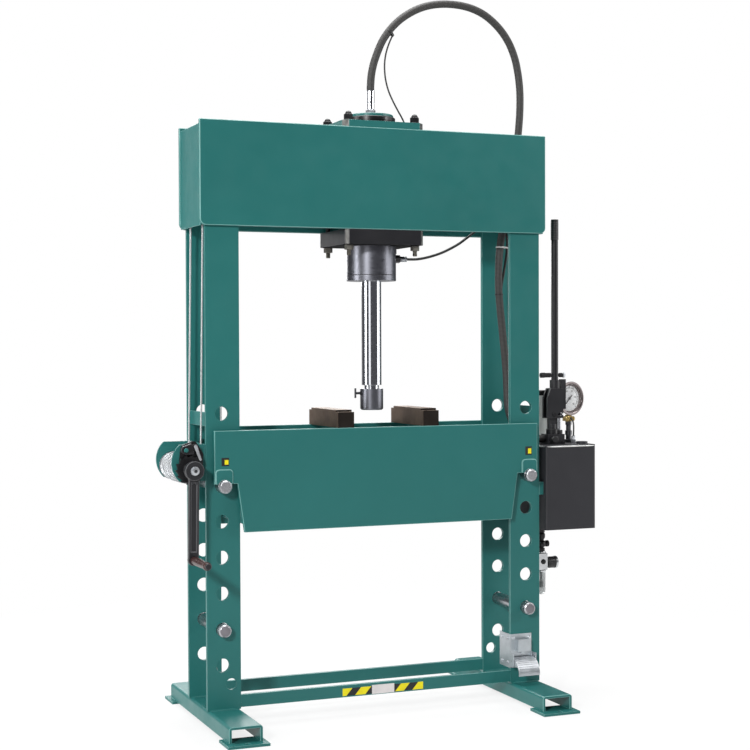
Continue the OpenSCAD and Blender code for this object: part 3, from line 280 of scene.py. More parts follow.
# Near-black with almost no shine, for faces under the flange: painted shade
MATTE_SHADE = moulded("matte_shade_black", (26, 26, 27), 0.8)
DARK_STEEL = bright("dark_steel", (84, 85, 88), 0.32, (1, 1, 8))
OXIDE = paint("black_oxide", (28, 28, 30), 0.3, 0.15)
TANK_BLACK = paint("tank_enamel", (44, 44, 48), 0.42, 0.08)
LEVER_BLACK = paint("lever_enamel", (40, 40, 42), 0.2, 0.06)
SEAM = bright("weld_metal", (214, 215, 213), 0.5, (1, 1, 1), scale=160, drift=0.25, deep=0.0002)
GREEN_PAINT, ZINC = MATS["green_paint"], MATS["zinc"]
RUBBER, PLASTIC = MATS["hose_rubber"], MATS["knob_plastic"]
FROSTED = frosted("frosted_plastic", (214, 219, 216), 0.45)
BOWL = frosted("clear_bowl", (205, 208, 208), 0.6)
INK = moulded("print_black", (24, 24, 26), 0.5, deep=0.00001)
YELLOW = moulded("print_yellow", (252, 234, 24), 0.45, deep=0.00001)
PALE = moulded("print_pale", (234, 229, 228), 0.45, deep=0.00001)
ROPE = wire_rope("wire_rope", (236, 238, 239), 0.35, 0.38)
WOUND_ROPE = wire_rope("wound_rope", (206, 209, 212), 0.85, 0.3)
MATTE_SHADE.node_tree.nodes["Principled BSDF"].inputs["Specular IOR Level"].default_value = 0.05

# Pieces
SHARP_EDGE = math.radians(32)
SHARP_SHADE = math.radians(38)
SAME_PLANE = math.radians(0.4)
SAME_SPOT = 2e-5
UNDERSIDE = -0.3
FACE_WEIGHT = 60


def add(name, mesh, mat, body):
    """An object that rides on a body, in one material."""
    obj = bpy.data.objects.new(name, mesh)
    scene.collection.objects.link(obj)
    mesh.materials.clear()
    mesh.materials.append(mat)
    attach(obj, body)
    return obj


def mesh_of(name, bm):
    mesh = bpy.data.meshes.new(name)
    bm.to_mesh(mesh)
    bm.free()
    return mesh


def smooth(mesh):
    mesh.polygons.foreach_set("use_smooth", [True] * len(mesh.polygons))


def even_normals(obj):
    """Smooth shading that stays flat on flat faces and breaks at sharp edges."""
    smooth(obj.data)
    obj.data.set_sharp_from_angle(angle=SHARP_SHADE)
    weighted = obj.modifiers.new("even", "WEIGHTED_NORMAL")
    weighted.keep_sharp = True
    weighted.weight = FACE_WEIGHT


def ease(bm, width):
    """Round the sharp edges, and give back the faces that this makes."""
    sharp = [e for e in bm.edges if len(e.link_faces) == 2 and e.calc_face_angle(0) > SHARP_EDGE]
    return bmesh.ops.bevel(bm, geom=sharp, offset=width * MM, segments=2, profile=0.6, affect="EDGES",
                           clamp_overlap=True)["faces"]


def dress(node, mat, edge):
    """The node's own solid in the material of its slot, its eased edges that don't face down in a lighter
    paint: a painted highlight.
    """
    bm = bmesh.new()
    bm.from_mesh(nodes[node].data)
    bmesh.ops.remove_doubles(bm, verts=bm.verts, dist=SAME_SPOT)
    bmesh.ops.dissolve_limit(bm, angle_limit=SAME_PLANE, verts=bm.verts, edges=bm.edges)
    lit_edges = set(ease(bm, edge)) if edge else set()
    # Eased faces that face up or sideways take the lighter paint as a painted highlight; those facing down
    # keep the plain paint, as if in shade
    layers = [int(face in lit_edges and face.normal.z > UNDERSIDE) for face in bm.faces]
    mesh = mesh_of(node + "_form", bm)
    slot = node_slot[node]
    obj = add(node + "_form", mesh, mat or MATS[slot], node_body[node])
    if slot in EDGE_HIGHLIGHT_MATS:
        mesh.materials.append(EDGE_HIGHLIGHT_MATS[slot])
        mesh.polygons.foreach_set("material_index", layers)
    even_normals(obj)
    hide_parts(node)
    return obj


@contextmanager
def piece(name, mat, slot, body="frame", edge=0.0, node=None):
    """A mesh to fill, then finished as a piece: eased edges, even normals and the node that it stands for."""
    bm = bmesh.new()
    yield bm
    bmesh.ops.recalc_face_normals(bm, faces=bm.faces)
    if edge:
        ease(bm, edge)
    obj = add(name, mesh_of(name, bm), mat, body)
    even_normals(obj)
    if node:
        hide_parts(node)


# Cords
SPAN_STEPS = 6


def smooth_route(points):
    """Catmull-Rom line through the points, in metres."""
    p = [Vector(q) * MM for q in points]
    p = [p[0] * 2 - p[1]] + p + [p[-1] * 2 - p[-2]]
    out = []
    for i in range(1, len(p) - 2):
        a, b, c, d = p[i - 1:i + 3]
        for k in range(SPAN_STEPS):
            t = k / SPAN_STEPS
            out.append(0.5 * ((2 * b) + (c - a) * t + (2 * a - 5 * b + 4 * c - d) * t * t
                              + (3 * b - a - 3 * c + d) * t ** 3))
    out.append(p[-2])
    return out


def tube_mesh(name, path, radius, sides=16):
    """Round tube along a path; its UV runs along the length in metres and once round."""
    bm = bmesh.new()
    uv = bm.loops.layers.uv.new("along")
    rings, lengths = [], [0.0]
    across = None
    for i, at in enumerate(path):
        ahead = (path[min(i + 1, len(path) - 1)] - path[max(i - 1, 0)]).normalized()
        if across is None:
            across = ahead.orthogonal().normalized()
        across = (across - ahead * across.dot(ahead)).normalized()
        side = ahead.cross(across)
        rings.append([bm.verts.new(at + radius * (math.cos(a) * across + math.sin(a) * side))
                      for a in (2 * math.pi * k / sides for k in range(sides))])
        if i:
            lengths.append(lengths[-1] + (at - path[i - 1]).length)
    for i in range(len(rings) - 1):
        for k in range(sides):
            k2 = (k + 1) % sides
            face = bm.faces.new((rings[i][k], rings[i][k2], rings[i + 1][k2], rings[i + 1][k]))
            spots = ((i, k), (i, k + 1), (i + 1, k + 1), (i + 1, k))
            for loop, (row, col) in zip(face.loops, spots):
                loop[uv].uv = (lengths[row], col / sides)
    for ring in (list(reversed(rings[0])), rings[-1]):
        bm.faces.new(ring)
    mesh = mesh_of(name, bm)
    mesh.polygons.foreach_set("use_smooth", [len(f.vertices) == 4 for f in mesh.polygons])
    return mesh, lengths[-1]


def hose(name, node, points, d, mat):
    """Soft hose along its route, which stands for a solid."""
    path = smooth_route(points)
    mesh, length = tube_mesh(name, path, d / 2 * MM)
    obj = add(name, mesh, mat, node_body[node])
    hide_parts(node)


HOSE_ROUTE = [
    (16, 0, 1863), (16, 0, 1878), (20, 0, 1918), (32, 0, 1962), (58, 0, 2020), (98, 0, 2070),
    (147, 0, 2107), (203, 0, 2132), (267, 0, 2143), (335, 0, 2140), (393, 0, 2122), (442, 0, 2088),
    (478, 0, 2046), (502, 0, 1996), (515, 0, 1942), (521, 0, 1888), (521, 0, 1832), (517, 0, 1776),
    (510, 0, 1720), (501, 0, 1664), (490, 0, 1608), (479, 0, 1552), (468, 0, 1496), (457, 0, 1440),
    (449, 0, 1384), (446, 0, 1328), (446, 0, 1272), (450, 0, 1216), (456, 0, 1160), (462, 0, 1104),
    (468, 0, 1048), (471, -2, 1000), (471, -6, 950), (471, -12, 902), (479, -20, 862), (499, -28, 829),
    (532, -36, 808), (566, -40, 800), (578, -40, 800),
]
RETURN_ROUTE = [
    (132, 0, 1357), (144, 0, 1357), (168, 0, 1358), (197, 0, 1363), (230, 0, 1372), (262, 0, 1384),
    (307, 4, 1406), (343, 10, 1429), (378, 18, 1452), (408, 24, 1467), (436, 28, 1474), (460, 30, 1470),
    (480, 30, 1456), (490, 30, 1434), (491, 30, 1406), (488, 30, 1376), (483, 30, 1346), (477, 30, 1314),
    (471, 30, 1282), (468, 30, 1250), (469, 30, 1190), (476, 30, 1130), (484, 30, 1070), (490, 30, 1010),
    (493, 30, 950), (498, 30, 900), (508, 30, 858), (526, 29, 824), (542, 28, 804), (556, 28, 797),
    (568, 28, 797),
]
TETHER_ROUTE = [
    (128, 0, 1757), (128, 0, 1766), (120, 0, 1784), (104, 0, 1810), (88, 0, 1838), (74, 0, 1868),
    (65, 0, 1902), (62, 0, 1936), (64, 0, 1964), (70, 0, 1990), (79, 0, 2014), (89, 0, 2035),
]
LINE_ROUTE = [
    (692, -9, 861), (697, -11, 859), (701, -14, 852), (702, -17, 842), (701, -20, 827), (700, -20, 805),
]
SPIRAL = hose_cover("spiral_cover", (55, 54, 53), 42, 0.00016)
hose("pressure_hose_cover", "pressure_hose", HOSE_ROUTE, 23, SPIRAL)
hose("return_hose_cover", "return_hose", RETURN_ROUTE, 8, RUBBER)
hose("tether_cover", "hose_tether", TETHER_ROUTE, 5, RUBBER)
hose("gauge_line_cover", "gauge_line", LINE_ROUTE, 5, RUBBER)

# Lift cables
SHEAVE_Z, LUG_Z = 1560, 836
SHEAVE_R = 43.5
SHEAVE_LEFT, SHEAVE_RIGHT = -486.5, 399.5
FRONT_CABLE, BACK_CABLE = -76, 52
CABLE_STEPS, BEND_STEPS, CABLE_SIDES = 60, 16, 12
WINCH = Vector((-584, 0, 746))
DRUM_EDGE = -541.1


def ropes(name, paths, radius):
    """Several lengths of rope in one smooth mesh."""
    bm = bmesh.new()
    for path in paths:
        bm.from_mesh(tube_mesh("length", path, radius * MM, CABLE_SIDES)[0])
    mesh = mesh_of(name, bm)
    smooth(mesh)
    return mesh


def cable_drops():
    """The two drops from the sheaves straight down to the table's lugs."""
    fall = (SHEAVE_Z - LUG_Z) / CABLE_STEPS
    paths = [[Vector((x, y, SHEAVE_Z - fall * k)) * MM for k in range(CABLE_STEPS + 1)]
             for x, y in ((SHEAVE_LEFT + SHEAVE_R, BACK_CABLE), (SHEAVE_RIGHT + SHEAVE_R, FRONT_CABLE))]
    mesh = ropes("cable_drop_ropes", paths, 2.5)
    mesh.materials.append(ROPE)
    obj = bpy.data.objects.new("cable_drop_ropes", mesh)
    scene.collection.objects.link(obj)
    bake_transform(obj)
    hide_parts("cable_drops")


def cable_runs():
    """From the drum up over the left sheaves, and one of them on over the right sheave."""
    def bend(x, y, start, end):
        angles = [math.radians(start + (end - start) * k / BEND_STEPS) for k in range(BEND_STEPS + 1)]
        spots = [(x + SHEAVE_R * math.cos(a), y, SHEAVE_Z + SHEAVE_R * math.sin(a)) for a in angles]
        return [Vector(spot) * MM for spot in spots]

    def rise(y):
        reach, lift = SHEAVE_LEFT - SHEAVE_R - DRUM_EDGE, SHEAVE_Z - WINCH.z
        shares = [k / CABLE_STEPS for k in range(CABLE_STEPS)]
        return [Vector((DRUM_EDGE + reach * t, y, WINCH.z + lift * t)) * MM for t in shares]

    back = rise(BACK_CABLE) + bend(SHEAVE_LEFT, BACK_CABLE, 180, 0)
    front = rise(FRONT_CABLE) + bend(SHEAVE_LEFT, FRONT_CABLE, 180, 90)
    front += bend(SHEAVE_RIGHT, FRONT_CABLE, 90, 0)
    mesh = ropes("cable_run_ropes", [back, front], 2.7)
    obj = add("cable_run_ropes", mesh, ROPE, "frame")
    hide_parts("lift_cables")


cable_drops()
cable_runs()

# Shapes of the finer pieces, in millimetres
X_AXIS, Y_AXIS, Z_AXIS = Vector((1, 0, 0)), Vector((0, 1, 0)), Vector((0, 0, 1))
HULL_STEPS = 48
BAND_GAP, BAND_THICK = 0.4, 1.2
RIPPLE = 5.0


def turn(bm, origin, axis, profile, sides=40, flutes=0.0):
    """Turned shape from pairs of place and radius; a profile that closes on itself makes a ring."""
    axis = Vector(axis).normalized()
    side = axis.orthogonal().normalized()
    up = axis.cross(side)
    closed = profile[0] == profile[-1]
    rings = []
    for along, radius in profile[:-1] if closed else profile:
        middle = (Vector(origin) + axis * along) * MM
        if radius == 0:
            rings.append([bm.verts.new(middle)] * sides)
            continue
        ring = []
        for k in range(sides):
            a = 2 * math.pi * k / sides
            reach = (radius - flutes * (k % 2)) * MM
            ring.append(bm.verts.new(middle + reach * (math.cos(a) * side + math.sin(a) * up)))
        rings.append(ring)
    if closed:
        rings.append(rings[0])
    for low, high in zip(rings, rings[1:]):
        for k in range(sides):
            k2 = (k + 1) % sides
            corners = []
            for v in (low[k], low[k2], high[k2], high[k]):
                if v not in corners:
                    corners.append(v)
            if len(corners) > 2:
                bm.faces.new(corners)
    for ring, (_, radius) in ((rings[0], profile[0]), (rings[-1], profile[-1])):
        if radius and not closed:
            bm.faces.new(ring)


def band(bm, low, high):
    """Faces between two closed rows of points."""
    count = len(low)
    for k in range(count):
        k2 = (k + 1) % count
        bm.faces.new((low[k], low[k2], high[k2], high[k]))


def slab(bm, low, high):
    """Block between two corners."""
    v = [bm.verts.new(Vector((x, y, z)) * MM) for x in (low[0], high[0]) for y in (low[1], high[1])
         for z in (low[2], high[2])]
    for face in ((0, 1, 3, 2), (4, 6, 7, 5), (0, 4, 5, 1), (2, 3, 7, 6), (0, 2, 6, 4), (1, 5, 7, 3)):
        bm.faces.new([v[k] for k in face])


def prism(bm, outline, origin, across, up, thick):
    """Flat outline in two directions, thickened along a third."""
    ends = []
    for lift in (Vector((0, 0, 0)), Vector(thick)):
        ends.append([bm.verts.new((Vector(origin) + a * across + b * up + lift) * MM) for a, b in outline])
    band(bm, *ends)
    for end in ends:
        bm.faces.new(end)


def hull_of(circles, extra=0.0):
    """Outline round circles given by their middles and radii."""
    spots = sorted((x + (r + extra) * math.cos(a), y + (r + extra) * math.sin(a)) for x, y, r in circles
                   for a in (2 * math.pi * k / HULL_STEPS for k in range(HULL_STEPS)))
    halves = []
    for run in (spots, spots[::-1]):
        half = []
        for p in run:
            while len(half) > 1 and ((half[-1][0] - half[-2][0]) * (p[1] - half[-2][1])
                                     <= (half[-1][1] - half[-2][1]) * (p[0] - half[-2][0])):
                half.pop()
            half.append(p)
        halves += half[:-1]
    return halves


def strap(bm, circles, z, high):
    """Flat band pulled round upright hoses."""
    outer = hull_of(circles, BAND_GAP + BAND_THICK)
    inner = []
    for x, y in outer:
        cx, cy, r = min(circles, key=lambda c: abs(math.hypot(x - c[0], y - c[1]) - c[2]))
        shrink = (r + BAND_GAP) / (r + BAND_GAP + BAND_THICK)
        inner.append((cx + (x - cx) * shrink, cy + (y - cy) * shrink))
    rows = [[bm.verts.new(Vector((x, y, level)) * MM) for x, y in line]
            for line, level in ((outer, z), (outer, z + high), (inner, z + high), (inner, z))]
    for low, above in zip(rows, rows[1:] + rows[:1]):
        band(bm, low, above)


def hex_nut(bm, origin, axis, width, height):
    """Nut with its corners turned off at both faces."""
    r = width / 2
    cut = 0.09 * width
    turn(bm, origin, axis, [(0, r * 0.88), (cut / 2, r), (height - cut / 2, r), (height, r * 0.88)], 6)


def dome(base, rise, radius):
    """Profile of a round end, up to just short of its tip."""
    angles = [math.radians(15 * k) for k in range(6)]
    return [(base + rise * math.sin(a), radius * math.cos(a)) for a in angles]


def bead(bm, start, end, size):
    """Weld bead: a round ridge with even ripples, sunk half into the corner that it fills."""
    start, end = Vector(start), Vector(end)
    length = (end - start).length
    count = max(6, int(length / RIPPLE) * 4)
    profile = []
    for k in range(count + 1):
        close = min(1.0, 4 * min(k, count - k) / count + 0.35)
        profile.append((length * k / count, size * close * (1 + 0.14 * math.sin(math.pi * k / 2))))
    turn(bm, start, end - start, profile, 8)


# Dressed solids
OWN_PIECES = {
    "pressure_hose", "return_hose", "hose_tether", "gauge_line", "cable_drops", "cylinder_cap", "clamp_studs",
    "lift_cables", "hose_fittings", "winch_drum", "crank_grip", "gauge_case", "gauge_dial", "gauge_stem",
    "air_motor", "regulator_body", "regulator_knob", "release_knob", "nose_screw",
}
EDGE = 0.8
EDGES = {
    "beam_front": 2.4, "beam_back": 2.4, "table_front": 2.6, "table_back": 2.6, "upright_front_left": 2.4,
    "upright_front_right": 2.4, "upright_back_left": 2.4, "upright_back_right": 2.4, "cylinder_flange": 2,
    "crank_arm": 1.6, "lever_socket": 1.6, "foot_left": 1.5, "foot_right": 1.5, "oil_tank": 1.0,
    "support_pins": 0.6, "ram_rod": 0.5, "pedal": 0.5, "pedal_bracket": 0.5, "gauge_glass": 0.4,
    "gauge_needle": 0,
}
OWN_MATS = {
    "press_block_left": BROWN, "press_block_right": BROWN, "cylinder_barrel": SATIN,
    "cylinder_gland": SATIN, "oil_tank": TANK_BLACK, "tank_lid": TANK_BLACK, "pump_plunger": POLISHED,
    "ram_nose": SATIN, "pump_lever": LEVER_BLACK, "pedal_bracket": GALVANISED,
}
dressed = {}
for node in sorted(nodes):
    if node not in OWN_PIECES:
        dressed[node] = dress(node, OWN_MATS.get(node), EDGES.get(node, EDGE))


def recoat(node, mat, picks):
    """Another material on the faces that a test picks."""
    mesh = dressed[node].data
    mesh.materials.append(mat)
    last = len(mesh.materials) - 1
    for face in mesh.polygons:
        if picks(face):
            face.material_index = last


def cut_corner(face):
    """Slanting end of a plate's corner, and not its eased edges."""
    return abs(face.normal.x) > 0.4 and abs(face.normal.y) > 0.4 and face.area > 1e-4


def underside(face):
    return face.normal.z < -0.95


def bar_end(face):
    return abs(face.normal.y) > 0.9


def spare_pin_end(face):
    return bar_end(face) and face.center.z < 0.6


# Bare steel at the plates' cut corners, a darker matt black under the flange as painted shade, and dark sawn
# ends
for node in ("cylinder_flange", "cylinder_top_plate"):
    recoat(node, CUT, cut_corner)
# The flange's downward faces in the darker matt black: painted shade beneath it
recoat("cylinder_flange", MATTE_SHADE, underside)
for node in ("press_block_left", "press_block_right"):
    recoat(node, SAWN, bar_end)
recoat("support_pins", DULL_STEEL, spare_pin_end)

# Cylinder: cap, studs, nuts and fittings
CYL_X = 16
TOP_PLATE = 1757
FLANGE_LOW = 1393
STUD_TOP = 1775
PORT_Z = 1357
NOSE_SCREW_Z = 951
CAP = (CYL_X, 0, TOP_PLATE)
STUDS = [(CYL_X + x, y) for x in (-106, 106) for y in (-88, 88)]


def cylinder_trim():
    with piece("cap_ring", OXIDE, "black_paint", node="cylinder_cap") as bm:
        turn(bm, CAP, Z_AXIS, [
            (0, 70.2), (0, 73), (1, 74), (7, 74), (8, 72.5), (10, 72.5), (11, 74), (20.5, 74), (22, 72.5),
            (22, 69), (-15, 54.9), (-15, 0)], 64)
    with piece("cap_disc", GREEN_PAINT, "green_paint") as bm:
        turn(bm, CAP, Z_AXIS, [(21.5, 68), (29, 68), (31, 66), (31, 15), (30, 14), (30, 0)], 64)

    with piece("stud_tops", OXIDE, "black_paint", node="clamp_studs") as bm:
        for x, y in STUDS:
            turn(bm, (x, y, 0), Z_AXIS, [(FLANGE_LOW - 16, 7), (STUD_TOP, 7)], 24)
            turn(bm, (x, y, TOP_PLATE), Z_AXIS, [(0, 14.5), (0.6, 15), (2.4, 15), (3, 14.5)], 32)
            hex_nut(bm, (x, y, TOP_PLATE + 3), Z_AXIS, 27, 16)
            turn(bm, (x, y, STUD_TOP), Z_AXIS, dome(0, 10.5, 10.5) + [(10.5, 0)], 32)
    with piece("lower_nuts", AGED, "zinc") as bm:
        for x, y in STUDS:
            hex_nut(bm, (x, y, FLANGE_LOW - 16), Z_AXIS, 27, 15.7)
            thread = [(-32, 5.5)]
            for z in range(-31, -13, 2):
                thread += [(z, 7), (z + 1, 6.1)]
            turn(bm, (x, y, FLANGE_LOW), Z_AXIS, thread, 24)

    with piece("cap_port_nut", ZINC, "zinc") as bm:
        turn(bm, CAP, Z_AXIS, [(31, 13), (32, 13.5), (34, 13.5), (35, 12)], 40)
        hex_nut(bm, (CYL_X, 0, TOP_PLATE + 34), Z_AXIS, 30, 14)
    with piece("hose_ends", POLISHED, "bright_steel", node="hose_fittings") as bm:
        turn(bm, CAP, Z_AXIS, [
            (48, 9), (50, 11.4), (65, 11.4), (66, 10.6), (69, 10.6), (70, 11.9), (105, 11.9),
            (106, 11.2)], 40)
        turn(bm, (0, 0, PORT_Z), X_AXIS, [
            (81, 6), (111, 7.2), (113, 7.2), (114, 8.5), (124, 8.5), (125, 7.4), (127, 7.4), (128, 8.5),
            (131, 8.5), (132, 6)], 32)
    with piece("port_nut", OXIDE, "black_paint") as bm:
        hex_nut(bm, (91, 0, PORT_Z), X_AXIS, 25, 19)

    with piece("nose_t_screw", DARK_STEEL, "turned_steel", "nose_screw", node="nose_screw") as bm:
        turn(bm, (CYL_X, 0, NOSE_SCREW_Z), X_AXIS, [
            (-53, 4), (-38, 4), (-37, 6), (-35.3, 6), (-35.3, 4), (-24, 4)], 24)
        turn(bm, (CYL_X - 53, 0, NOSE_SCREW_Z), Z_AXIS, [(-15, 2.2), (-14, 3), (14, 3), (15, 2.2)], 20)


cylinder_trim()

# Winch: drum, rope turns, ratchet wheel, nut, guard, pawl and grip
TURN_STEPS = 32
TEETH, TIP_R, ROOT_R = 14, 43, 36


def wind(name, reach, start, pitch, turns, radius):
    """Rope wound round the drum, from a place along it."""
    path = []
    for k in range(turns * TURN_STEPS + 1):
        a = 2 * math.pi * k / TURN_STEPS
        along = start + pitch * k / TURN_STEPS
        path.append((WINCH + Vector((reach * math.cos(a), along, reach * math.sin(a)))) * MM)
    mesh, _ = tube_mesh(name, path, radius * MM, 10)
    add(name, mesh, WOUND_ROPE, "winch")


def winch_trim():
    with piece("drum_core", MATS["turned_steel"], "turned_steel", "winch", node="winch_drum") as bm:
        turn(bm, WINCH, Y_AXIS, [
            (-96.5, 0), (-96.5, 41), (-93, 41), (-93, 35), (68, 35), (68, 41), (71.5, 41), (71.5, 0)], 56)
        turn(bm, WINCH, Y_AXIS, [(-171, 8.5), (-169.5, 10), (90, 10), (92, 8)], 32)
    wind("drum_rope", 36.6, -89.4, 7.1, 22, 3.4)
    wind("crossed_rope", 39.6, 42, -27, 4, 3.2)
    with piece("ratchet_wheel", OXIDE, "black_paint", "winch", edge=0.5) as bm:
        step = 2 * math.pi / TEETH
        teeth = []
        for k in range(TEETH):
            teeth.append((TIP_R * math.cos(k * step), TIP_R * math.sin(k * step)))
            teeth.append((ROOT_R * math.cos((k + 1) * step), ROOT_R * math.sin((k + 1) * step)))
        prism(bm, teeth, WINCH + Vector((0, -122, 0)), X_AXIS, Z_AXIS, (0, 12, 0))
        turn(bm, WINCH, Y_AXIS, [(-149.6, 14), (-149.6, 17), (-124, 17), (-122, 20), (-121, 20)], 32)
    with piece("crank_nut", ZINC, "zinc", "winch") as bm:
        turn(bm, WINCH, Y_AXIS, [(-172.6, 9), (-172.6, 12.6), (-170.2, 13), (-170.2, 9)], 32)
        turn(bm, WINCH, Y_AXIS, [
            (-180, 5.2), (-180, 9), (-179.4, 10.5), (-173, 10.5), (-172.4, 9.4), (-172.4, 5.2),
            (-180, 5.2)], 6)
    with piece("crank_screws", DARK_STEEL, "turned_steel", "winch") as bm:
        turn(bm, WINCH, Y_AXIS, [(-181, 3.6), (-180.4, 4.6), (-172.4, 4.6)], 24)
        for x in (-6, 6):
            turn(bm, WINCH + Vector((x, 0, -36)), Y_AXIS, [(-163.6, 2.2), (-163, 3), (-161.8, 3)], 16)
    with piece("ratchet_guard", OXIDE, "black_paint", edge=0.8) as bm:
        guard = hull_of([(4, 0, 35), (-9, 56, 16), (12, 66, 14), (28, 40, 14)])
        prism(bm, guard, WINCH + Vector((0, -107.2, 0)), X_AXIS, Z_AXIS, (0, 4, 0))
    with piece("pawl_finger", ZINC, "zinc", "pawl", edge=1.4) as bm:
        finger = hull_of([(-570, 812, 5), (-556.5, 775, 3.5)])
        prism(bm, finger, (0, -129, 0), X_AXIS, Z_AXIS, (0, 4.6, 0))
    with piece("pawl_link", OXIDE, "black_paint", "pawl", edge=0.6) as bm:
        prism(bm, hull_of([(-598, 802, 9), (-570, 812, 7)]), (0, -127.4, 0), X_AXIS, Z_AXIS, (0, 3.6, 0))
    with piece("pawl_bolt", GREEN_PAINT, "green_paint", "pawl") as bm:
        hex_nut(bm, (-598, -133, 802), Y_AXIS, 13, 6)
    with piece("grip_handle", MATS["grip_plastic"], "grip_plastic", "grip", node="crank_grip") as bm:
        grip_at = WINCH + Vector((-2.6, 0, -250))
        turn(bm, grip_at, Y_AXIS, [
            (-304, 5.1), (-304, 9), (-302, 11), (-296, 12), (-290, 11.8), (-284, 10.3), (-276, 10),
            (-240, 11.4), (-205, 12), (-185, 11.6), (-174, 10.4), (-168, 11), (-164.5, 10.4), (-164, 9),
            (-164, 5.1)], 40)


winch_trim()

# Pressure gauge, in its own turned frame
TANK_TOP = 783
GAUGE = Vector((697, 7, 923))
GAUGE_TURN = math.radians(14)
GAUGE_OUT = Vector((math.sin(GAUGE_TURN), -math.cos(GAUGE_TURN), 0))
GAUGE_RIGHT = Vector((math.cos(GAUGE_TURN), math.sin(GAUGE_TURN), 0))
SCALE_START, SCALE_SWEEP = 225, 270
SCALE_R, NUMBER_R = 33, 25.5
MARKS, ARC_STEPS = 50, 60
DIAL_TOP, PRINT_DEEP, NUMBER_LIFT = 4.4, 0.25, 4.6
TEE_X, TEE_Z = 687, 860.7


def scale_angle(share):
    return math.radians(SCALE_START - SCALE_SWEEP * share)


def dial_way(angle):
    return math.cos(angle) * GAUGE_RIGHT + math.sin(angle) * Z_AXIS


def gauge():
    # The bezel's chrome in a dark brownish colour: a painted dark reflection of the room
    with piece("gauge_shell", CHROME_DARK_REFLECTION, "black_paint", node="gauge_case") as bm:
        turn(bm, GAUGE, GAUGE_OUT, [
            (-15, 0), (-15, 40), (-14, 45), (-12, 47.5), (6, 48), (8, 50), (9.5, 53.4), (13.3, 54),
            (14.8, 53), (15, 51), (14.6, 46.6), (13.4, 45.2), (12.4, 44.8), (3.1, 44.6), (3.1, 0)], 72)
    # A dark brownish cone over the dial's margin inside the bezel: painted shade of the bezel's inner wall
    with piece("gauge_rim_shade", RIM_SHADE, "black_paint") as bm:
        turn(bm, GAUGE, GAUGE_OUT, [(4.6, 40.6), (4.6, 44.8), (12.6, 45), (12.6, 44.4), (4.6, 40.6)], 72)
    with piece("dial_face", DIAL, "dial_white", node="gauge_dial") as bm:
        turn(bm, GAUGE, GAUGE_OUT, [(3.1, 46.3), (4.3, 46.3), (4.5, 46), (4.5, 2), (3.1, 2), (3.1, 46.3)], 72)
    with piece("dial_scale", INK, "knob_plastic") as bm:
        top, thick = GAUGE + GAUGE_OUT * DIAL_TOP, GAUGE_OUT * PRINT_DEEP
        for k in range(MARKS + 1):
            along = dial_way(scale_angle(k / MARKS))
            half, length = (0.75, 6.3) if k % 5 == 0 else (0.35, 3.6)
            far = SCALE_R + length
            outline = [(SCALE_R, -half), (far, -half), (far, half), (SCALE_R, half)]
            prism(bm, outline, top, along, along.cross(GAUGE_OUT), thick)
        near, far = SCALE_R - 0.5, SCALE_R + 0.2
        for k in range(ARC_STEPS):
            a, b = (scale_angle((k + n) / ARC_STEPS) for n in (0, 1))
            spots = ((a, near), (b, near), (b, far), (a, far))
            outline = [(r * math.cos(angle), r * math.sin(angle)) for angle, r in spots]
            prism(bm, outline, top, GAUGE_RIGHT, Z_AXIS, thick)
    with piece("dial_numbers", INK, "knob_plastic") as bm:
        turned = Matrix((GAUGE_RIGHT, Z_AXIS, GAUGE_OUT)).transposed().to_4x4()
        for k in range(6):
            curve = bpy.data.curves.new("number", "FONT")
            curve.body = str(10 * k)
            curve.size = 8.8 * MM
            curve.align_x = curve.align_y = "CENTER"
            curve.extrude = 0.12 * MM
            text = bpy.data.objects.new("number", curve)
            mesh = bpy.data.meshes.new_from_object(text)
            way = dial_way(scale_angle(k / 5))
            turned.translation = (GAUGE + GAUGE_OUT * NUMBER_LIFT + NUMBER_R * way) * MM
            mesh.transform(turned)
            bm.from_mesh(mesh)
            bpy.data.objects.remove(text)
    with piece("gauge_pipe", DARK_STEEL, "turned_steel") as bm:
        stem = (GAUGE.x, GAUGE.y, 0)
        turn(bm, stem, Z_AXIS, [(TANK_TOP, 13), (784, 13.4), (792, 13.4), (793, 12)], 6)
        turn(bm, stem, Z_AXIS, [
            (792, 9), (806, 9), (807, 11), (820, 11), (821, 8), (838, 8), (839, 10), (851, 10)], 32)
    with piece("brass_tee", MATS["tee_brass"], "tee_brass", edge=0.8, node="gauge_stem") as bm:
        slab(bm, (682, -5, 850.7), (712, 19, 866))
        hex_nut(bm, (GAUGE.x, GAUGE.y, 862), Z_AXIS, 22, 8.7)
        turn(bm, (TEE_X, GAUGE.y, TEE_Z), Y_AXIS, [(-20, 3.4), (-19, 4.5), (-13, 4.5), (0, 4.5)], 24)
        hex_nut(bm, (TEE_X, -10, TEE_Z), Y_AXIS, 13, 5)
        hex_nut(bm, (712, GAUGE.y, 858), X_AXIS, 13, 6)


gauge()

# Pump: tank seam, collars, knobs, grip, bolt heads and the motor behind
TANK_X, TANK_Y, SEAM_Z = (548, 724), (-120, 110), 779
PUMP_Y, LEVER_X, BOLT_Z = -40, 622, 999
MOTOR = (618, 50, 0)


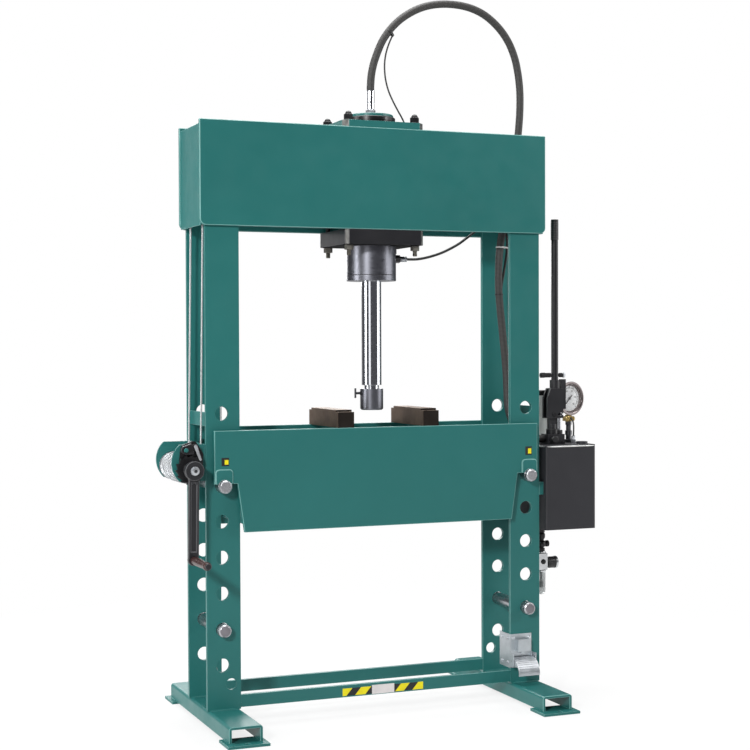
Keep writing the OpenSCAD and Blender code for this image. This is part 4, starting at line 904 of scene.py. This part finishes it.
def pump_trim():
    (x0, x1), (y0, y1), inset = TANK_X, TANK_Y, 6
    with piece("tank_seam", SEAM, "turned_steel") as bm:
        for y in TANK_Y:
            bead(bm, (x0 + inset, y, SEAM_Z), (x1 - inset, y, SEAM_Z), 2.4)
        for x in TANK_X:
            bead(bm, (x, y0 + inset, SEAM_Z), (x, y1 - inset, SEAM_Z), 2.4)
    with piece("pump_collars", OXIDE, "black_paint") as bm:
        for x, r, low, high in ((612, 19, 814, 830), (635, 13, 813.7, 826)):
            collar = [(low, r - 1), (low + 1, r), (high - 1.5, r), (high, r - 1.5)]
            turn(bm, (x, PUMP_Y, 0), Z_AXIS, collar, 48, flutes=0.5)
        for x, z in ((592, 788), (640, 788)):
            hex_nut(bm, (x, -69, z), Y_AXIS, 10, 5)
    with piece("release_hand_knob", PLASTIC, "knob_plastic", "release", node="release_knob") as bm:
        turn(bm, (600, PUMP_Y, 798), Y_AXIS, [
            (-49, 8), (-48, 10.5), (-46, 11), (-31, 11), (-29.3, 10), (-29.3, 4), (-14, 4)], 36, flutes=0.6)
    with piece("lever_hand_grip", RUBBER, "hose_rubber", "lever") as bm:
        ribs = [(1424.5, 11.2), (1424.5, 12)]
        for k in range(10):
            z = 1427 + 5.4 * k
            ribs += [(z, 12.3), (z + 3.6, 12.3), (z + 4.2, 11.9), (z + 5, 11.9)]
        ribs += [(1484, 12.2), (1487, 11.4), (1488.4, 8), (1488.6, 0)]
        turn(bm, (LEVER_X, PUMP_Y, 0), Z_AXIS, ribs, 40)
    with piece("lever_bolt_heads", OXIDE, "black_paint", "lever") as bm:
        hex_nut(bm, (571, PUMP_Y, BOLT_Z), X_AXIS, 17, 16)
        turn(bm, (0, PUMP_Y, BOLT_Z), X_AXIS, [(572, 5), (573, 7.4), (606, 7.4), (607, 5)], 28)
        turn(bm, (0, PUMP_Y, BOLT_Z), X_AXIS, [(637, 5), (638, 7), (648, 7), (649, 5)], 28)
        for y in (-60.5, -22):
            hex_nut(bm, (612, y, 876), Y_AXIS, 17, 3)
    with piece("lever_bolt_nut", ZINC, "zinc", "lever") as bm:
        hex_nut(bm, (650, PUMP_Y, BOLT_Z), X_AXIS, 17, 7)
    with piece("line_port_nut", ZINC, "zinc") as bm:
        hex_nut(bm, (700, -20, TANK_TOP), Z_AXIS, 16, 10)
        turn(bm, (700, -20, 0), Z_AXIS, [(793, 5), (794, 6.3), (803, 6.3), (805, 4)], 24)
    with piece("motor_sleeve", FROSTED, "zinc", node="air_motor") as bm:
        turn(bm, MOTOR, Z_AXIS, [
            (799, 21), (800, 23), (840, 23), (842, 22), (846, 22), (848, 23), (888, 23), (890, 22), (894, 22),
            (896, 23), (932, 23), (933, 21)], 48)
    with piece("motor_caps", OXIDE, "black_paint") as bm:
        for low, high in ((TANK_TOP, 799), (933, 949)):
            turn(bm, MOTOR, Z_AXIS, [(low, 24.5), (low + 1.5, 26), (high - 1.5, 26), (high, 24.5)], 48)


pump_trim()

# Air filter regulator
REGULATOR_X, KNOB_Z = 573, 409


def regulator():
    x, y = REGULATOR_X, PUMP_Y
    middle = (x, y, 0)
    with piece("regulator_block", STAINLESS, "zinc", edge=3, node="regulator_body") as bm:
        slab(bm, (x - 15, y - 15, 388), (x + 15, y + 15, 440))
        turn(bm, middle, Z_AXIS, [(381, 14), (382, 15), (387, 15), (388, 13)], 40)
        turn(bm, middle, Z_AXIS, [(440, 13), (441, 14), (445, 14), (446, 12)], 40)
        turn(bm, (0, y, KNOB_Z), X_AXIS, [(x + 15, 10), (x + 18, 10)], 32)
    with piece("regulator_elbows", OXIDE, "black_paint") as bm:
        hex_nut(bm, (x, y, 446), Z_AXIS, 24, 10)
        turn(bm, middle, Z_AXIS, [
            (455, 8), (458, 8), (460, 11), (464, 13.5), (474, 13.5), (478, 11), (480, 8.5), (484, 8.5),
            (486, 11), (490, 12.5), (500, 12.5), (503, 10), (505, 8)], 36)
        hex_nut(bm, (x, y, 504), Z_AXIS, 24, 16)
        turn(bm, (0, y, 469), X_AXIS, [(x, 8), (x + 15, 8), (x + 16, 10), (x + 24, 10), (x + 25, 8.5)], 28)
        turn(bm, (x, 0, 414), Y_AXIS, [(y - 17.5, 0), (y - 17.5, 7), (y - 16.8, 8), (y - 14, 8)], 28)
        for low, r0, r1 in ((386.4, 15.4, 15.8), (439.4, 14.4, 15.6)):
            high = low + 2.2
            turn(bm, middle, Z_AXIS, [(low, r0), (low, r1), (high, r1), (high, r0), (low, r0)], 40)
    with piece("bowl_stem", OXIDE, "black_paint") as bm:
        turn(bm, middle, Z_AXIS, [(332, 0), (332, 4), (334, 5), (352, 5), (353, 2.4), (384, 2.4)], 24)
    with piece("regulator_bowl", BOWL, "gauge_glass") as bm:
        bowl = [(381, 12.5), (379, 13.5), (330, 13.2), *dome(322.5, -13, 13), (309.3, 0)]
        turn(bm, middle, Z_AXIS, bowl, 40)
    with piece("regulator_hand_knob", PLASTIC, "knob_plastic", "knob", node="regulator_knob") as bm:
        turn(bm, (x, y, KNOB_Z), X_AXIS, [
            (6, 4), (18.4, 4), (18.4, 15), (20, 17), (24, 17), (25, 18), (44, 18), (47, 16.6), (52.3, 16),
            (52.3, 0)], 44, flutes=0.7)
    with piece("knob_ring", STAINLESS, "zinc", "knob") as bm:
        turn(bm, (x, y, KNOB_Z), X_AXIS, [
            (45.4, 16.2), (45.4, 19.2), (51.8, 19.2), (51.8, 15.6), (45.4, 16.2)], 44)


regulator()

# Frame: weld beads, ties, tape, bare fields and small screws
BAR_OUT, BAR_IN = 103, 91
FOOT_X, EAR_X = 483, 486.5
BACK_OF_TAPE = -102.9
TAPE_Y, STRIPE_Y = -103.2, -103.5
TAPE_LOW, TAPE_HIGH = 61, 83
TAPE_LEFT, TAPE_RIGHT = (-121, -28), (44, 138)
STRIPE_LEAN, STRIPE_WIDE = 19, 27
PEDAL_PIVOT, TREAD_R = (-112, 84), 50


def frame_trim():
    with piece("frame_welds", GREEN_PAINT, "green_paint") as bm:
        for side in (-1, 1):
            low, high = sorted((side * 436, side * 530))
            for y in (-BAR_OUT, -BAR_IN, BAR_IN, BAR_OUT):
                bead(bm, (low, y, 53), (high, y, 53), 3.2)
            for y in (-BAR_OUT, BAR_OUT):
                bead(bm, (side * 433, y, 57), (side * 433, y, 91), 1.6)
                bead(bm, (side * 547, y, 1445), (side * 547, y, 1720), 2.2)
            foot = side * FOOT_X
            for y in (-310.5, 310.5):
                bead(bm, (foot - 45, y, 8.4), (foot - 34, y, 8.4), 1.6)
            for x in (foot - 48.5, foot + 48.5):
                for y in (-1, 1):
                    bead(bm, (x, y * 254, 8.6), (x, y * 305, 8.6), 2.4)
        for y in (-BAR_OUT, -BAR_IN):
            for z in (632, 668):
                bead(bm, (534, y, z), (547, y, z), 1.6)
        for z in (713, 815):
            bead(bm, (-537, -102, z), (-537, 102, z), 1.8)
        for y in (-BAR_OUT, -97, 72, 78):
            bead(bm, (-537, y, 716), (-537, y, 812), 1.6)
    # Welds round the saddles in the lighter edge paint: a painted highlight along their outline
    with piece("table_welds", EDGE_HIGHLIGHT_MATS["green_paint"], "green_paint", "table") as bm:
        for side in (-1, 1):
            ear = side * EAR_X
            for y in (-126, 126):
                for x in (ear - 25, ear + 25):
                    bead(bm, (x, y, 706), (x, y, 733), 1.5)
                bead(bm, (ear - 15, y, 743.5), (ear + 15, y, 743.5), 1.5)
            for y in (-114, 114):
                bead(bm, (side * 420, y, 590), (side * 420, y, 826), 2.4)

    with piece("hose_ties", PALE, "dial_white") as bm:
        strap(bm, ((451, 0, 11.6), (490, 30, 4.2)), 1398, 4.5)
    with piece("hose_tie_dark", INK, "hose_rubber") as bm:
        strap(bm, ((447, 0, 11.6), (468, 30, 4.2)), 1250, 4.5)
    with piece("tether_tie", RUBBER, "hose_rubber") as bm:
        strap(bm, ((0, 0, 11.6), (14.8, 0, 2.6)), -3, 6)
        along = Vector((0.625, 0, 0.781))
        turned = Matrix((Y_AXIS.cross(along), Y_AXIS, along)).transposed().to_4x4()
        turned.translation = Vector((77.4, 0, 2044.3)) * MM
        bm.transform(turned)

    with piece("tape_yellow", YELLOW, "dial_white") as bm:
        for start, stop in (TAPE_LEFT, TAPE_RIGHT):
            slab(bm, (start, TAPE_Y, TAPE_LOW), (stop, BACK_OF_TAPE, TAPE_HIGH))
    with piece("tape_pale", PALE, "dial_white") as bm:
        slab(bm, (TAPE_LEFT[1], TAPE_Y, TAPE_LOW - 2), (TAPE_RIGHT[0], BACK_OF_TAPE, TAPE_HIGH + 3))
    with piece("tape_stripes", INK, "knob_plastic") as bm:
        for (start, stop), places in ((TAPE_LEFT, (-109, -49)), (TAPE_RIGHT, (19.4, 75.5))):
            for x in places:
                x2, up, up2 = x + STRIPE_WIDE, x + STRIPE_LEAN, x + STRIPE_WIDE + STRIPE_LEAN
                outline = [(x, TAPE_LOW), (x2, TAPE_LOW), (up2, TAPE_HIGH), (up, TAPE_HIGH)]
                outline = [(min(max(a, start), stop), b) for a, b in outline]
                prism(bm, outline, (0, STRIPE_Y, 0), X_AXIS, Z_AXIS, (0, 0.4, 0))
    for name, x0, x1, z0, z1 in (("left", -494, -472, 754, 777), ("right", 473, 495, 757, 783)):
        with piece("table_field_" + name, INK, "knob_plastic", "table") as bm:
            slab(bm, (x0, -126.3, z0), (x1, -125.9, z1))
        with piece("table_patch_" + name, YELLOW, "dial_white", "table") as bm:
            slab(bm, (x0 + 9, -126.6, z0 + 4), (x1 - 2, -126.2, z1 - 6))

    with piece("pedal_screws", ZINC, "zinc") as bm:
        for y, z in ((-90, 190), (-90, 116), (-52, 190), (-52, 116)):
            turn(bm, (0, y, z), X_AXIS, [(430.2, 0), (428.4, 2), (427.6, 4), (427.6, 4.6), (430.2, 5)], 20)
        for x, z in ((440, 192), (496, 192)):
            turn(bm, (x, 0, z), Y_AXIS, [(-105.8, 5), (-108, 4.6), (-108.4, 3.6), (-108.4, 0)], 20)
    with piece("pedal_ridges", ZINC, "zinc", "pedal") as bm:
        for k in range(9):
            a = math.radians(100 + 8 * k)
            y, z = PEDAL_PIVOT[0] + TREAD_R * math.cos(a), PEDAL_PIVOT[1] + TREAD_R * math.sin(a)
            turn(bm, (0, y, z), X_AXIS, [(434, 0.5), (435, 0.9), (501, 0.9), (502, 0.5)], 8)


frame_trim()

# Floor and light
SEEN_RAYS = ("Is Camera Ray", "Is Glossy Ray", "Is Transmission Ray")
WHITE = (1, 1, 1, 1)
WORLD_LIGHT = 0.07
FLOOR_SIZE, FLOOR_Z = 60, -0.0005
THROWN_TONE, SEEN_TONE = 0.5, 0.95
NEAR, FAR = 0.7, 2.2
GLOW_NEAR, GLOW_FAR = 0.8, 1.0


def fresh_tree(owner):
    owner.use_nodes = True
    owner.node_tree.nodes.clear()
    return owner.node_tree


def seen(tree):
    """1 for the rays that show a thing to the eye, 0 for the rest."""
    rays = put(tree, "LightPath", {}).outputs
    total = rays[SEEN_RAYS[0]]
    for kind in SEEN_RAYS[1:]:
        total = put(tree, "Math", {0: total, 1: rays[kind]}, operation="MAXIMUM").outputs[0]
    return total


def lay_floor():
    """White floor with a soft shadow round the feet; darker where it only throws light back."""
    bpy.ops.mesh.primitive_plane_add(size=FLOOR_SIZE, location=(0, 0, FLOOR_Z))
    floor = bpy.context.object
    floor.name = "floor"
    mat = bpy.data.materials.new("floor")
    tree = fresh_tree(mat)
    eye = seen(tree)
    tone = put(tree, "MapRange", {"Value": eye, "To Min": THROWN_TONE, "To Max": SEEN_TONE})
    diffuse = put(tree, "BsdfDiffuse", {"Color": tone.outputs["Result"]})
    glow = put(tree, "Emission", {"Color": WHITE})
    place = put(tree, "NewGeometry", {}).outputs["Position"]
    reach = put(tree, "VectorMath", {0: place}, operation="LENGTH").outputs["Value"]
    fade = put(tree, "MapRange", {
        "Value": reach, "From Min": NEAR, "From Max": FAR, "To Min": GLOW_NEAR, "To Max": GLOW_FAR})
    share = put(tree, "Math", {0: eye, 1: fade.outputs["Result"]}, operation="MULTIPLY")
    mix = put(tree, "MixShader", {0: share.outputs[0], 1: diffuse.outputs[0], 2: glow.outputs[0]})
    put(tree, "OutputMaterial", {0: mix.outputs[0]})
    floor.data.materials.append(mat)


def light_world():
    scene.world = bpy.data.worlds.new("studio")
    tree = fresh_tree(scene.world)
    soft = put(tree, "Background", {"Color": (0.95, 0.97, 1, 1), "Strength": WORLD_LIGHT})
    white = put(tree, "Background", {"Color": WHITE, "Strength": 1})
    mix = put(tree, "MixShader", {0: seen(tree), 1: soft.outputs[0], 2: white.outputs[0]})
    put(tree, "OutputWorld", {0: mix.outputs[0]})


def dark_wall():
    """Grey studio walls with a bright gap on the right, seen only in reflections."""
    radius, low, high, steps = 7.0, -0.2, 6.0, 40
    bm = bmesh.new()
    for start, end in ((-165, 52), (93, 180)):
        rows = []
        for k in range(steps + 1):
            a = math.radians(start + (end - start) * k / steps)
            x, y = radius * math.sin(a), -radius * math.cos(a)
            rows.append([bm.verts.new((x, y, z)) for z in (low, high)])
        for (a, b), (c, d) in zip(rows, rows[1:]):
            bm.faces.new((a, b, d, c))
    mat = bpy.data.materials.new("dark_wall")
    tree = fresh_tree(mat)
    grey = put(tree, "Emission", {"Color": (0.1, 0.1, 0.11, 1)})
    put(tree, "OutputMaterial", {0: grey.outputs[0]})
    wall = bpy.data.objects.new("dark_wall", mesh_of("dark_wall", bm))
    wall.data.materials.append(mat)
    scene.collection.objects.link(wall)
    wall.visible_camera = wall.visible_diffuse = False
    wall.visible_transmission = wall.visible_shadow = False


# Lamps: place, the point they face, width and height in metres, and watts
LAMPS = {
    "left_bank": ((-4.45, 0.2, 1.5), (0, 0, 1.0), (1.5, 3.2), 112),
    "front_strip": ((-3.0, -3.34, 1.7), (0, 0, 1.1), (1.7, 3.2), 24),
    "key": ((-4.6, -5.0, 3.5), (0, 0, 1.0), (0.7, 0.7), 275),
    "right_bank": ((4.2, -1.42, 1.6), (0, 0, 1.0), (3.2, 3.0), 50),
    "right_key": ((3.2, -2.0, 2.4), (0.5, 0, 0.7), (0.5, 0.5), 24),
    "top": ((0.0, 0.3, 4.4), (0, 0, 1.0), (2.6, 2.6), 150),
    "back_fill": ((0.6, 4.6, 2.6), (0, 0, 0.9), (3.0, 2.4), 110),
}


def hang_lamps():
    for name, (place, target, (wide, high), power) in LAMPS.items():
        data = bpy.data.lights.new(name, "AREA")
        data.shape = "RECTANGLE"
        data.size = wide
        data.size_y = high
        data.energy = power
        lamp = bpy.data.objects.new(name, data)
        lamp.location = place
        lamp.rotation_euler = (Vector(target) - Vector(place)).to_track_quat("-Z", "Y").to_euler()
        scene.collection.objects.link(lamp)


lay_floor()
light_world()
dark_wall()
hang_lamps()
